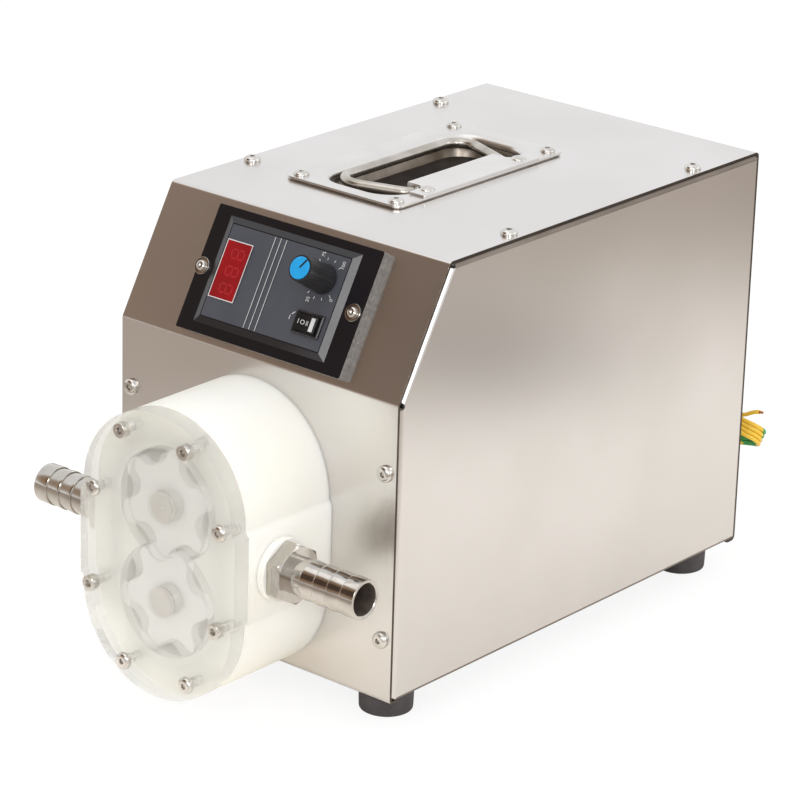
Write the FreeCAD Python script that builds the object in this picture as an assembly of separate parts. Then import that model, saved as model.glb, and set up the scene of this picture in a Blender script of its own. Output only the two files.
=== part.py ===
import FreeCAD
import Part

import math
import os

# Gear transfer pump: a plastic gear pump head with a clear cover and two steel
# hose tails, on a folded stainless housing that holds a gearmotor and its
# speed controller, with a folding bail handle sunk in the top.
# Modelling frame, mm: X to the right seen from the front, Y to the rear with the
# outer front sheet at Y = 0, Z up with the lowest edge of the housing at Z = 0.
# On export every piece moves by SHIFT, so that the feet stand at Z = 0 and the
# origin is under the middle of the pump.

V = FreeCAD.Vector
AX = (1, 0, 0)
AY = (0, 1, 0)
AZ = (0, 0, 1)

# General clearances and screws
RUN_GAP = 0.05
FREE_GAP = 0.3
M5_R = 2.5
M5_HOLE_R = 2.75
CAP_HEAD_R = 4.25
CAP_HEAD_H = 5.0
BUTTON_HEAD_R = 4.7
BUTTON_HEAD_H = 2.9
HEX_KEY_AF = 3.0
HEX_KEY_DEEP = 0.62
BUTTON_LIP = 0.22
BUTTON_FLAT = 0.5
CAP_KEY_AF = 4.0

# Housing
HOUSING_W = 200.0
HOUSING_D = 313.0
HOUSING_H = 238.5
FRONT_H = 169.4
SLOPE_BACK = 39.0
SHEET_T = 1.5
BEND_R = 3.0
FLANGE_W = 15.0
BASE_FLANGE_H = 15.0
WRAP_INSET = 1.5
RETURN_LEN = 7.0
RELIEF_R = 2.3
SCREW_REACH = 20.0
RELIEF_DEEP = 4.5
WRAP_SCREW_IN = 8.7
WRAP_SCREW_X = HOUSING_W / 2.0 - WRAP_SCREW_IN
FRONT_SCREW_Z = (36.0, 130.3)
TOP_SCREW_Y = (95.5, 259.0)
REAR_SCREW_Z = (36.0, 200.0)
WRAP_SCREW_LEN = 8.0

# Feet
FOOT_IN = 23.5
FOOT_X = HOUSING_W / 2.0 - FOOT_IN
FOOT_FRONT_Y = 23.5
FOOT_R = 15.2
FOOT_TIP_R = 14.7
FOOT_H = 15.5
FOOT_CHAMFER = 1.2
FOOT_RECESS_R = 6.5
FOOT_RECESS_H = 8.0
FOOT_NUT_H = 4.0
FOOT_NUT_AF = 8.0

# Handle in the top
HANDLE_Y = 156.7
PLATE_X = (-58.0, 24.0)
PLATE_HALF_Y = 72.2
PLATE_T = 2.0
PLATE_SHEET_T = 1.2
PLATE_LIP = 1.2
PLATE_CORNER_R = 5.0
CUP_X = (-44.0, 11.0)
CUP_HALF_Y = 60.5
CUP_CORNER_R = 18.0
CUP_DEPTH = 12.0
CUP_DRAFT = 4.0
CUP_WALL = 1.5
CUP_ROOM = 0.8
CUP_RIM = 4.5
STRIP_X = (1.0, 24.0)
STRIP_HALF_Y = 50.0
STRIP_T = 1.2
NOTCH_X = 13.0
NOTCH_Y = 37.0
NOTCH_R = 4.0
PLATE_SCREW_LEN = 8.0
PLATE_HEAD_R = 4.4
PLATE_HEAD_H = 2.1
PLATE_SCREWS = ((-51.0, -65.6), (-51.0, 65.6), (17.2, -65.6), (17.2, 65.6))
RIVET_X = 17.2
RIVET_Y = 39.6
RIVET_R = 2.0
RIVET_HEAD_R = 4.4
RIVET_HEAD_H = 1.5
BAIL_R = 3.0
PIVOT_X = 4.8
PIVOT_Z = HOUSING_H - 1.5
PIVOT_END_Y = 10.0
LEG_Y = 41.0
GRIP_X = -38.0
GRIP_Z = HOUSING_H - 0.5
GRIP_HALF_Y = 56.5
GRIP_CORNER_R = 12.0
LEG_CORNER_R = 5.0
SADDLE_Y = (16.0, 36.5)
SADDLE_X = (4.5, 3.4)
SADDLE_LOW = 4.2
TONGUE_IN_X = 1.0
TONGUE_OUT_Y = 45.5
TONGUE_T = 2.0

# Controller on the slope, in slope coordinates: x, u up the slope, n outwards
FLANGE_X = (-56.4, 60.0)
FLANGE_U = (3.7, 74.0)
FLANGE_T = 5.0
FLANGE_CORNER_R = 1.0
RISE_LOW_X = (-46.0, 47.0)
RISE_LOW_U = (9.3, 69.3)
RISE_TOP_X = (-41.6, 43.0)
RISE_TOP_U = (12.9, 65.7)
RISE_H = 2.0
FACE_T = 0.5
CASE_X = (-42.0, 43.4)
CASE_U = (12.4, 66.2)
CASE_DEEP = 52.0
CASE_WALL = 2.0
CASE_ROOM = 0.6
TERMINAL_HALF_X = 28.0
TERMINAL_U = (30.0, 42.0)
TERMINAL_H = 9.0
TERMINAL_WAYS = 6
WINDOW_X = (-40.0, -22.9)
WINDOW_U = (24.7, 56.4)
WINDOW_H = 0.5
WINDOW_DEEP = 2.0
PANEL_SCREW_X = (-53.0, 54.2)
PANEL_SCREW_U = 38.8
WASHER_R = 4.9
WASHER_T = 1.1
PANEL_HEAD_R = 2.9
PANEL_HEAD_H = 1.6
PANEL_NUT_T = 3.2
PANEL_SCREW_R = 2.0
KNOB_X = 29.8
KNOB_U = 50.9
KNOB_BASE_R = 8.3
KNOB_TOP_R = 7.2
KNOB_H = 21.5
KNOB_LIFT = 0.5
KNOB_FLUTES = 18
FLUTE_R = 0.38
FLUTE_LOW = 3.0
POINTER_W = 1.2
POINTER_ANGLE = 58.0
CAP_R = 6.1
CAP_RISE = 0.7
CAP_SINK = 1.2
POT_R = 8.0
POT_LEN = 9.0
POT_NECK_R = 3.5
POT_SHAFT_R = 3.0
POT_SHAFT_LEN = 14.0
SWITCH_X = 30.4
SWITCH_U = 25.8
SWITCH_HALF_X = 9.3
SWITCH_HALF_U = 6.4
SWITCH_RIM = 0.8
SWITCH_LIP_H = 1.6
SWITCH_DEEP = 17.0
ROCKER_HALF_X = 7.4
ROCKER_HALF_U = 4.5
ROCKER_PIVOT_N = -1.0
ROCKER_PIN_R = 1.0
ROCKER_PIN_OUT = 0.7
ROCKER_TILT = 10.0

# Pump head
HEAD_Z = 79.3
SHAFT_SPACING = 54.0
BODY_R = 53.3
BODY_DEPTH = 64.7
COVER_T = 11.0
PAD_HALF_X = 55.5
PAD_HALF_Z = 24.0
COVER_BOLT_R = 45.2
GEAR_TEETH = 6
GEAR_PITCH_R = SHAFT_SPACING / 2.0
ROLLING_R = GEAR_PITCH_R / (2.0 * GEAR_TEETH)
GEAR_TIP_R = GEAR_PITCH_R + 2.0 * ROLLING_R
FLANK_GAP = 0.1
FLANK_STEPS = 8
DRIVE_GEAR_TURN = 68.0
IDLE_GEAR_TURN = 90.0 - (DRIVE_GEAR_TURN - 90.0) + 180.0 / GEAR_TEETH
REAR_WALL = 22.1
GEAR_SIDE_GAP = 0.3
GEAR_W = BODY_DEPTH - REAR_WALL - 2 * GEAR_SIDE_GAP
POCKET_R = GEAR_TIP_R + 0.3
SHAFT_R = 8.5
SHAFT_STEP_R = 7.0
JOURNAL_IN = 6.4
JOURNAL_END_GAP = 0.2
CENTRE_R = 1.4
BUSH_R = 12.0
BUSH_LEN = 11.0
SEAL_R = 15.0
SEAL_T = 7.0
SHAFT_OUT = 42.0
RING_MID_R = 37.0
RING_W = 3.0
RING_DEEP = 2.4
COVER_SCREW_DEEP = 18.0
KEY_W = 5.0
KEY_H = 3.0

# Ports and hose tails, along X at the height of the gear mesh
PORT_BACK = 23.4
PORT_Y = PORT_BACK - BODY_DEPTH
PORT_Z = HEAD_Z
PORT_R = 9.0
THREAD_R = 13.2
THREAD_DEEP = 16.0
PORT_WASHER_R = 17.4
PORT_WASHER_T = 4.5
TAIL_HEX_AF = 30.0
TAIL_HEX_LEN = 9.0
TAIL_NECK_R = 10.3
TAIL_NECK_LEN = 9.0
BARB_COUNT = 4
BARB_PITCH = 9.2
BARB_LOW_R = 10.3
BARB_TOP_R = 11.0
BARB_LAND = 1.2
TAIL_BORE_R = 8.7
TAIL_CHAMFER = 0.6

# Drive inside the housing
DRIVE_Z = HEAD_Z - SHAFT_SPACING / 2.0
IDLE_Z = HEAD_Z + SHAFT_SPACING / 2.0
MOUNT_PLATE_T = 6.0
MOUNT_PLATE_X = 62.0
MOUNT_PLATE_DOWN = 61.3
MOUNT_PLATE_UP = 62.7
HEAD_SCREW_ROWS = ((40.0, 0.0), (24.0, 58.0), (24.0, -50.0))
HEAD_SCREW_R = 3.0
HEAD_SCREW_HEAD_R = 5.0
HEAD_SCREW_HEAD_H = 6.0
HEAD_SCREW_IN = 14.0
SHAFT_HOLE_R = 17.0
HUB_R = 17.0
HUB_LEN = 16.0
HUB_GAP = 8.0
JAW_GAP = 0.5
SPIDER_R = 16.0
SPIDER_CORE_R = 7.3
SPIDER_LEG_HALF = 2.4
SPIDER_GAP = 0.2
HUB_TO_BRACKET = 4.0
BRACKET_Y = SHAFT_OUT + HUB_GAP + HUB_LEN + HUB_TO_BRACKET
BRACKET_T = 6.0
BRACKET_HALF_X = 50.0
BRACKET_FOOT = 52.0
BRACKET_TOP_Z = 104.0
BRACKET_FOOT_T = 4.0
BRACKET_SCREW_X = 36.0
BRACKET_SCREW_BACK = (22.0, 42.0)
GEARBOX_HALF = 44.0
GEARBOX_LEN = 58.0
GEARBOX_SPIGOT_R = 18.0
GEARBOX_SPIGOT_H = 6.0
GEARBOX_SHAFT_R = 7.0
GEARBOX_BOLT = 36.0
GEARBOX_GRIP = 10.0
MOTOR_R = 43.0
MOTOR_LEN = 62.0
MOTOR_RIB_H = 1.6
MOTOR_RIBS = 5
MOTOR_CAP_R = 38.0
MOTOR_CAP_LEN = 12.0

# Power board on the base
BOARD_FROM_SIDE = 36.0
BOARD_X = (BOARD_FROM_SIDE - HOUSING_W / 2.0, HOUSING_W / 2.0 - BOARD_FROM_SIDE)
BOARD_FROM_REAR = (89.0, 9.0)
BOARD_Y = (HOUSING_D - BOARD_FROM_REAR[0], HOUSING_D - BOARD_FROM_REAR[1])
BOARD_T = 1.6
BOARD_HOLE_IN = 6.0
BOARD_SCREW_R = 1.5
BOARD_HEAD_R = 2.8
SPACER_AF = 6.0
SPACER_H = 9.0
CORE_BOX = (52.0, 46.0, 40.0)
CORE_X = -56.0
PARTS_BACK = 18.0
CAN_X = (14.0, 38.0)
CAN_R = 9.0
CAN_H = 30.0
SINK_X = (10.0, 60.0)
SINK_BACK = 34.0
SINK_T = 2.5
SINK_H = 36.0
FIN_COUNT = 6
FIN_T = 2.0
FIN_LEN = 12.0

# Rear panel
INLET_FROM_SIDE = 42.0
INLET_X = INLET_FROM_SIDE - HOUSING_W / 2.0
INLET_Z = 62.0
INLET_HALF_X = 14.0
INLET_HALF_Z = 12.0
INLET_FLANGE_X = 25.0
INLET_FLANGE_Z = 15.0
INLET_FLANGE_T = 2.5
INLET_DEEP = 22.0
INLET_SOCKET = (11.8, 7.8, 16.0)
INLET_PIN_BACK = 3.0
INLET_SCREW_X = 20.0
INLET_SCREW_R = 1.5
FUSE_X = -8.0
FUSE_Z = 62.0
FUSE_R = 6.3
FUSE_CAP_R = 8.5
FUSE_CAP_H = 5.0
FUSE_DEEP = 28.0
VENT_COUNT = 9
VENT_Z = 182.0
VENT_PITCH = 9.0
VENT_W = 4.0
VENT_LEN = 34.0
VENT_X = 32.0
BASE_VENT_X = 40.0
BASE_VENT_Y = 168.0
BASE_VENT_PITCH = 8.0

# Earth lead
WIRE_R = 1.25
STUD_X = 56.0
STUD_Z = 104.0
STUD_R = 2.5
STUD_OUT = 10.0
STUD_NUT_AF = 8.0
STUD_NUT_T = 4.0
LUG_R = 5.0
LUG_T = 1.0
LUG_BARREL_R = 2.2
LUG_BARREL_LEN = 9.0
COIL_X = (34.0, 98.0)
COIL_Z = (50.0, 68.0)
COIL_Y = 17.0
COIL_THICK = 10.0
TIE_X = 62.0
TIE_W = 3.5
TIE_T = 1.2
TIP_R = 0.8
TIP_LEN = 2.0

REAR_MOST = HOUSING_D + STUD_OUT
FRONT_MOST = -(BODY_DEPTH + COVER_T + CAP_HEAD_H)
SHIFT = V(0, -(REAR_MOST + FRONT_MOST) / 2.0, FOOT_H)
SLOPE_ANGLE = math.degrees(math.atan2(HOUSING_H - FRONT_H, SLOPE_BACK))
SLOPE_LEN = math.hypot(HOUSING_H - FRONT_H, SLOPE_BACK)
PANEL_MID_U = 39.67
PANEL_SHIFT = SLOPE_LEN / 2.0 - PANEL_MID_U
COVER_FACE_Y = -(BODY_DEPTH + COVER_T)


def box(x, y, z):
    """Box from three (low, high) pairs."""
    return Part.makeBox(x[1] - x[0], y[1] - y[0], z[1] - z[0], V(x[0], y[0], z[0]))


def rod(radius, length, base, axis):
    """Cylinder from its base point along an axis."""
    return Part.makeCylinder(radius, length, V(*base), V(*axis))


def cone(r0, r1, length, base, axis):
    """Cone frustum from its base point along an axis."""
    return Part.makeCone(r0, r1, length, V(*base), V(*axis))


def tube(outer, inner, length, base, axis):
    """Hollow cylinder."""
    return rod(outer, length, base, axis).cut(rod(inner, length, base, axis))


def fuse(shapes):
    """One shape from touching or overlapping solids."""
    whole = shapes[0]
    for shape in shapes[1:]:
        whole = whole.fuse(shape)
    return whole.removeSplitter()


def cut(shape, tools):
    """A shape less a list of tools."""
    for tool in tools:
        shape = shape.cut(tool)
    return shape


def group(shapes):
    """Separate solids kept in one node."""
    return Part.makeCompound(shapes)


def polygon_wire(points):
    """Closed wire through 3-D points."""
    vectors = [V(*point) for point in points]
    return Part.makePolygon(vectors + [vectors[0]])


def yz_prism(points, x0, x1):
    """Prism of a closed outline of (y, z) points between two X planes."""
    face = Part.Face(polygon_wire([(x0, y, z) for y, z in points]))
    return face.extrude(V(x1 - x0, 0, 0))


def xz_prism(points, y0, y1):
    """Prism of a closed outline of (x, z) points between two Y planes."""
    face = Part.Face(polygon_wire([(x, y0, z) for x, z in points]))
    return face.extrude(V(0, y1 - y0, 0))


def hexagon(across_flats, length, base, axis, turn=0.0):
    """Hexagonal bar from its base point along an axis."""
    corner_r = across_flats / math.sqrt(3.0)
    points = []
    for i in range(6):
        a = math.radians(60.0 * i + turn)
        points.append((corner_r * math.cos(a), corner_r * math.sin(a), 0))
    bar = Part.Face(polygon_wire(points)).extrude(V(0, 0, length))
    bar.Placement = FreeCAD.Placement(V(*base), FreeCAD.Rotation(V(0, 0, 1), V(*axis)))
    return bar


def rounded_wire(x, y, radius, z):
    """Closed wire of a rectangle with four equal corner arcs, in a level plane."""
    x0, x1 = x
    y0, y1 = y
    r = radius
    edges = []
    corners = ((x1 - r, y0 + r, -90), (x1 - r, y1 - r, 0), (x0 + r, y1 - r, 90), (x0 + r, y0 + r, 180))
    ends = []
    for cx, cy, start in corners:
        circle = Part.Circle(V(cx, cy, z), V(0, 0, 1), r)
        arc = Part.ArcOfCircle(circle, math.radians(start), math.radians(start + 90))
        ends.append((arc.StartPoint, arc.EndPoint, arc))
    for i in range(4):
        edges.append(ends[i][2].toShape())
        edges.append(Part.LineSegment(ends[i][1], ends[(i + 1) % 4][0]).toShape())
    return Part.Wire(edges)


def rounded_plate(x, y, radius, z0, z1):
    """Flat plate with round corners."""
    return Part.Face(rounded_wire(x, y, radius, z0)).extrude(V(0, 0, z1 - z0))


def obround_wire(half_gap, radius, y):
    """Upright obround in an XZ plane, about the two shaft centres."""
    lo = HEAD_Z - half_gap
    hi = HEAD_Z + half_gap
    top = Part.Arc(V(radius, y, hi), V(0, y, hi + radius), V(-radius, y, hi)).toShape()
    left = Part.LineSegment(V(-radius, y, hi), V(-radius, y, lo)).toShape()
    low = Part.Arc(V(-radius, y, lo), V(0, y, lo - radius), V(radius, y, lo)).toShape()
    right = Part.LineSegment(V(radius, y, lo), V(radius, y, hi)).toShape()
    return Part.Wire([top, left, low, right])


def obround(radius, y0, y1):
    """Obround prism about the two shaft centres."""
    return Part.Face(obround_wire(SHAFT_SPACING / 2.0, radius, y0)).extrude(V(0, y1 - y0, 0))


def on_slope(shape):
    """Move a shape from slope coordinates to the housing; the controller stays mid-slope."""
    moved = shape.copy()
    turn = FreeCAD.Placement(V(0, 0, FRONT_H), FreeCAD.Rotation(V(1, 0, 0), SLOPE_ANGLE))
    shift = FreeCAD.Placement(V(0, PANEL_SHIFT, 0), FreeCAD.Rotation())
    moved.Placement = turn.multiply(shift).multiply(moved.Placement)
    return moved


def inset_outline(distance):
    """Side outline of the housing, moved inwards by a distance, as (y, z) points."""
    points = [(0, 0), (0, FRONT_H), (SLOPE_BACK, HOUSING_H), (HOUSING_D, HOUSING_H), (HOUSING_D, 0)]
    lines = []
    for i in range(len(points)):
        a = points[i]
        b = points[(i + 1) % len(points)]
        length = math.hypot(b[0] - a[0], b[1] - a[1])
        d = ((b[0] - a[0]) / length, (b[1] - a[1]) / length)
        inward = (d[1], -d[0])
        lines.append(((a[0] + inward[0] * distance, a[1] + inward[1] * distance), d))
    result = []
    for i in range(len(lines)):
        (px, py), (dx, dy) = lines[i - 1]
        (qx, qy), (ex, ey) = lines[i]
        cross = dx * ey - dy * ex
        t = ((qx - px) * ey - (qy - py) * ex) / cross
        result.append((px + dx * t, py + dy * t))
    return result


def end_edges(shape, half_width):
    """Edges of a prism that lie in its two end planes."""
    chosen = []
    for edge in shape.Edges:
        xs = [vertex.X for vertex in edge.Vertexes]
        if all(abs(abs(x) - half_width) < 1e-4 for x in xs) and abs(xs[0] - xs[-1]) < 1e-4:
            chosen.append(edge)
    return chosen


def cross_edges(shape):
    """Edges of a prism that run along X."""
    chosen = []
    for edge in shape.Edges:
        a = edge.Vertexes[0].Point
        b = edge.Vertexes[-1].Point
        if abs(a.x - b.x) > 10 and abs(a.y - b.y) < 1e-4 and abs(a.z - b.z) < 1e-4:
            chosen.append(edge)
    return chosen


def dome(radius, height, base, axis):
    """Spherical cap on a flat base of the given radius."""
    ball_r = (radius ** 2 + height ** 2) / (2 * height)
    centre = V(*base) + V(*axis) * (height - ball_r)
    return Part.makeSphere(ball_r, centre).common(rod(radius, height + 1, base, axis))


def flat_dome(radius, top_r, height, base, axis):
    """Spherical shoulder from a round base up to a smaller flat top."""
    drop = (radius ** 2 - top_r ** 2 - height ** 2) / (2 * height)
    centre = V(*base) - V(*axis) * drop
    ball = Part.makeSphere(math.hypot(radius, drop), centre)
    return ball.common(rod(radius, height, base, axis))


def button_screw(x, y, z, axis, length, head_r=BUTTON_HEAD_R, head_h=BUTTON_HEAD_H, shank_r=M5_R):
    """Button head screw; the point is the middle of the seat, the axis points out of it."""
    out = V(*axis)
    seat = V(x, y, z)
    lip = BUTTON_LIP * head_h
    head = rod(head_r, lip, (x, y, z), axis)
    top = flat_dome(head_r, BUTTON_FLAT * head_r, head_h - lip, tuple(seat + out * lip), axis)
    shank = rod(shank_r, length, tuple(seat - out * length), axis)
    key_af = HEX_KEY_AF * head_r / BUTTON_HEAD_R
    key = hexagon(key_af, head_h, tuple(seat + out * (1.0 - HEX_KEY_DEEP) * head_h), axis)
    return fuse([head, top, shank]).cut(key)


def cap_screw(x, y, z, axis, length):
    """Socket cap screw; the point is the middle of the seat, the axis points out of it."""
    out = V(*axis)
    seat = V(x, y, z)
    head = rod(CAP_HEAD_R, CAP_HEAD_H - 0.5, (x, y, z), axis)
    rim = cone(CAP_HEAD_R, CAP_HEAD_R - 0.5, 0.5, tuple(seat + out * (CAP_HEAD_H - 0.5)), axis)
    shank = rod(M5_R, length, tuple(seat - out * length), axis)
    key = hexagon(CAP_KEY_AF, CAP_HEAD_H, tuple(seat + out * (CAP_HEAD_H - 2.5)), axis)
    return fuse([head, rim, shank]).cut(key)


def wrap_screw_places():
    """Seat points and outward axes of the wrap's screws, by side."""
    front = [(s * WRAP_SCREW_X, 0.0, z) for s in (-1, 1) for z in FRONT_SCREW_Z]
    top = [(s * WRAP_SCREW_X, y, HOUSING_H) for s in (-1, 1) for y in TOP_SCREW_Y]
    rear = [(s * WRAP_SCREW_X, HOUSING_D, z) for s in (-1, 1) for z in REAR_SCREW_Z]
    return {"front": (front, (0, -1, 0)), "top": (top, (0, 0, 1)), "rear": (rear, (0, 1, 0))}


def foot_places():
    """Centres of the four feet."""
    rear_y = HOUSING_D - FOOT_FRONT_Y
    return [(s * FOOT_X, y) for s in (-1, 1) for y in (FOOT_FRONT_Y, rear_y)]


def head_screw_places():
    """Centres of the screws that hold the pump head, as (x, z)."""
    return [(s * x, HEAD_Z + z) for x, z in HEAD_SCREW_ROWS for s in (-1, 1)]


def board_screw_places():
    """Centres of the board's spacers."""
    x0, x1 = BOARD_X
    y0, y1 = BOARD_Y
    inset = BOARD_HOLE_IN
    return [(x, y) for x in (x0 + inset, x1 - inset) for y in (y0 + inset, y1 - inset)]


def bracket_screw_places():
    """Centres of the screws in the bracket's foot."""
    return [(s * BRACKET_SCREW_X, BRACKET_Y + back) for s in (-1, 1) for back in BRACKET_SCREW_BACK]


def folded_prism(distance, radius, half_width):
    """Side outline of the housing as a prism, its folds rounded along X."""
    prism = yz_prism(inset_outline(distance), -half_width, half_width)
    return prism.makeFillet(radius, cross_edges(prism))


def chassis():
    """Base with two side panels, rounded bends and inward flanges."""
    half = HOUSING_W / 2.0
    outer = yz_prism(inset_outline(WRAP_INSET), -half, half)
    outer = outer.makeFillet(BEND_R, end_edges(outer, half))
    inner = yz_prism(inset_outline(WRAP_INSET + SHEET_T), SHEET_T - half, half - SHEET_T)
    inner = inner.makeFillet(BEND_R - SHEET_T, end_edges(inner, half - SHEET_T))
    shell = outer.cut(inner).common(folded_prism(SHEET_T, BEND_R - SHEET_T, half))
    open_half = half - FLANGE_W
    tools = [box((-open_half, open_half), (-1, HOUSING_D + 1), (BASE_FLANGE_H, HOUSING_H + 1))]
    for y, z in inset_outline(WRAP_INSET):
        for side in (-1, 1):
            start = side * (half + 1)
            tools.append(rod(RELIEF_R, RELIEF_DEEP + 1, (start, y, z), (-side, 0, 0)))
    places = wrap_screw_places()
    for points, axis in places.values():
        for x, y, z in points:
            start = V(x, y, z) - V(*axis) * SCREW_REACH
            tools.append(rod(M5_R, SCREW_REACH, tuple(start), axis))
    for x, y in foot_places():
        tools.append(rod(M5_R, 10.0, (x, y, -5), AZ))
    for x, y in board_screw_places():
        tools.append(rod(BOARD_SCREW_R, 10.0, (x, y, -5), AZ))
    for x, y in bracket_screw_places():
        tools.append(rod(M5_R, 10.0, (x, y, -5), AZ))
    for i in range(VENT_COUNT):
        y = BASE_VENT_Y + (i - (VENT_COUNT - 1) / 2.0) * BASE_VENT_PITCH
        for side in (-1, 1):
            x0 = side * BASE_VENT_X - VENT_LEN / 2.0
            tools.append(rounded_plate((x0, x0 + VENT_LEN), (y - VENT_W / 2.0, y + VENT_W / 2.0),
                                       VENT_W / 2.0 - 0.05, -1, 6))
    return cut(shell, tools)


def wrap():
    """One folded sheet: front, slope, top and rear, with short returns under the base."""
    half = HOUSING_W / 2.0 - WRAP_INSET
    outer = folded_prism(0.0, BEND_R, half)
    inner = folded_prism(SHEET_T, BEND_R - SHEET_T, half + 1)
    shell = outer.cut(inner)
    tools = [box((-half - 1, half + 1), (RETURN_LEN, HOUSING_D - RETURN_LEN), (-1, SHEET_T + 0.5))]
    for points, axis in wrap_screw_places().values():
        for x, y, z in points:
            tools.append(rod(M5_HOLE_R, 10.0, (x - axis[0] * 5, y - axis[1] * 5, z - axis[2] * 5), axis))
    tools.append(rod(SHAFT_HOLE_R, 10.0, (0, -5, DRIVE_Z), AY))
    for x, z in head_screw_places():
        tools.append(rod(HEAD_SCREW_R + 0.3, 10.0, (x, -5, z), AY))
    case_cut = box((CASE_X[0] - CASE_ROOM, CASE_X[1] + CASE_ROOM),
                   (CASE_U[0] - CASE_ROOM, CASE_U[1] + CASE_ROOM), (-6, 6))
    tools.append(on_slope(case_cut))
    for x in PANEL_SCREW_X:
        tools.append(on_slope(rod(PANEL_SCREW_R + 0.3, 12.0, (x, PANEL_SCREW_U, -6), AZ)))
    cup_gap = CUP_WALL + CUP_ROOM
    tools.append(rounded_plate((CUP_X[0] - cup_gap, CUP_X[1] + cup_gap),
                               (HANDLE_Y - CUP_HALF_Y - cup_gap, HANDLE_Y + CUP_HALF_Y + cup_gap),
                               CUP_CORNER_R + cup_gap, HOUSING_H - 5, HOUSING_H + 5))
    for x, y in PLATE_SCREWS:
        tools.append(rod(M5_R, 10.0, (x, HANDLE_Y + y, HOUSING_H - 5), AZ))
    tools.append(box((INLET_X - INLET_HALF_X, INLET_X + INLET_HALF_X), (HOUSING_D - 5, HOUSING_D + 5),
                     (INLET_Z - INLET_HALF_Z, INLET_Z + INLET_HALF_Z)))
    for side in (-1, 1):
        tools.append(rod(INLET_SCREW_R, 10.0, (INLET_X + side * INLET_SCREW_X, HOUSING_D - 5, INLET_Z), AY))
    tools.append(rod(FUSE_R, 10.0, (FUSE_X, HOUSING_D - 5, FUSE_Z), AY))
    tools.append(rod(STUD_R, 10.0, (STUD_X, HOUSING_D - 5, STUD_Z), AY))
    for i in range(VENT_COUNT):
        z = VENT_Z + (i - (VENT_COUNT - 1) / 2.0) * VENT_PITCH
        for side in (-1, 1):
            slot = rounded_plate((side * VENT_X - VENT_LEN / 2.0, side * VENT_X + VENT_LEN / 2.0),
                                 (-VENT_W / 2.0, VENT_W / 2.0), VENT_W / 2.0 - 0.05, -5, 5)
            slot.Placement = FreeCAD.Placement(V(0, HOUSING_D, z), FreeCAD.Rotation(V(1, 0, 0), 90))
            tools.append(slot)
    return cut(shell, tools)


def wrap_screws():
    """Button screws of the wrap, on its front, top and rear."""
    pieces = []
    for points, axis in wrap_screw_places().values():
        pieces.extend([button_screw(x, y, z, axis, WRAP_SCREW_LEN) for x, y, z in points])
    return group(pieces)


def feet():
    """Four rubber feet with a recess for the screw."""
    pieces = []
    for x, y in foot_places():
        tall = FOOT_H + WRAP_INSET - FOOT_CHAMFER
        body = cone(FOOT_TIP_R, FOOT_R, tall, (x, y, FOOT_CHAMFER - FOOT_H), AZ)
        tip = cone(FOOT_TIP_R - FOOT_CHAMFER, FOOT_TIP_R, FOOT_CHAMFER, (x, y, -FOOT_H), AZ)
        recess = rod(FOOT_RECESS_R, FOOT_RECESS_H, (x, y, -FOOT_H), AZ)
        hole = rod(M5_R, FOOT_H + 5, (x, y, -FOOT_H), AZ)
        pieces.append(cut(fuse([body, tip]), [recess, hole]))
    return group(pieces)


def foot_screws():
    """Screw and nut of each foot."""
    pieces = []
    seat_z = FOOT_RECESS_H - FOOT_H
    shank_len = WRAP_INSET + SHEET_T + FOOT_NUT_H + 1.0 - seat_z
    for x, y in foot_places():
        screw = rod(M5_R, shank_len, (x, y, seat_z), AZ)
        head = rod(CAP_HEAD_R, 3.5, (x, y, seat_z - 3.5), AZ)
        key = hexagon(CAP_KEY_AF, 2.0, (x, y, seat_z - 3.5), AZ)
        nut = hexagon(FOOT_NUT_AF, FOOT_NUT_H, (x, y, WRAP_INSET + SHEET_T), AZ)
        pieces.append(fuse([screw, head, nut]).cut(key))
    return group(pieces)


def handle_plate():
    """Pressed plate with the dished recess under the bail."""
    top = HOUSING_H + PLATE_T
    y0 = HANDLE_Y - CUP_HALF_Y
    y1 = HANDLE_Y + CUP_HALF_Y
    sheet = rounded_plate(PLATE_X, (HANDLE_Y - PLATE_HALF_Y, HANDLE_Y + PLATE_HALF_Y),
                          PLATE_CORNER_R, top - PLATE_SHEET_T, top)
    half_y = PLATE_HALF_Y - PLATE_LIP
    rest_x = (PLATE_X[0] + PLATE_LIP, PLATE_X[1] - PLATE_LIP)
    rest_y = (HANDLE_Y - half_y, HANDLE_Y + half_y)
    rest = rounded_plate(rest_x, rest_y, PLATE_CORNER_R - PLATE_LIP, HOUSING_H, top - PLATE_SHEET_T)

    def ring(grow, z):
        span_x = (CUP_X[0] - grow, CUP_X[1] + grow)
        span_y = (y0 - grow, y1 + grow)
        return rounded_wire(span_x, span_y, CUP_CORNER_R + grow, z)

    shell = Part.makeLoft([ring(CUP_WALL - CUP_DRAFT, top - CUP_DEPTH - CUP_WALL), ring(CUP_WALL, HOUSING_H)],
                          True, True)
    hollow = Part.makeLoft([ring(-CUP_DRAFT, top - CUP_DEPTH), ring(0.0, top)], True, True)
    steps = []
    for i in range(5):
        a = math.radians(90.0 * i / 4)
        steps.append(ring(CUP_RIM * (1 - math.cos(a)) - 0.01, top - CUP_RIM * (1 - math.sin(a))))
    hollow = hollow.fuse(Part.makeLoft(steps, True, True))
    holes = [rod(M5_R, 10.0, (x, HANDLE_Y + y, HOUSING_H - 5), AZ) for x, y in PLATE_SCREWS]
    for side in (-1, 1):
        holes.append(rod(RIVET_R, 10.0, (RIVET_X, HANDLE_Y + side * RIVET_Y, HOUSING_H - 5), AZ))
    return cut(fuse([sheet, rest, shell]), [hollow] + holes)


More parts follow.
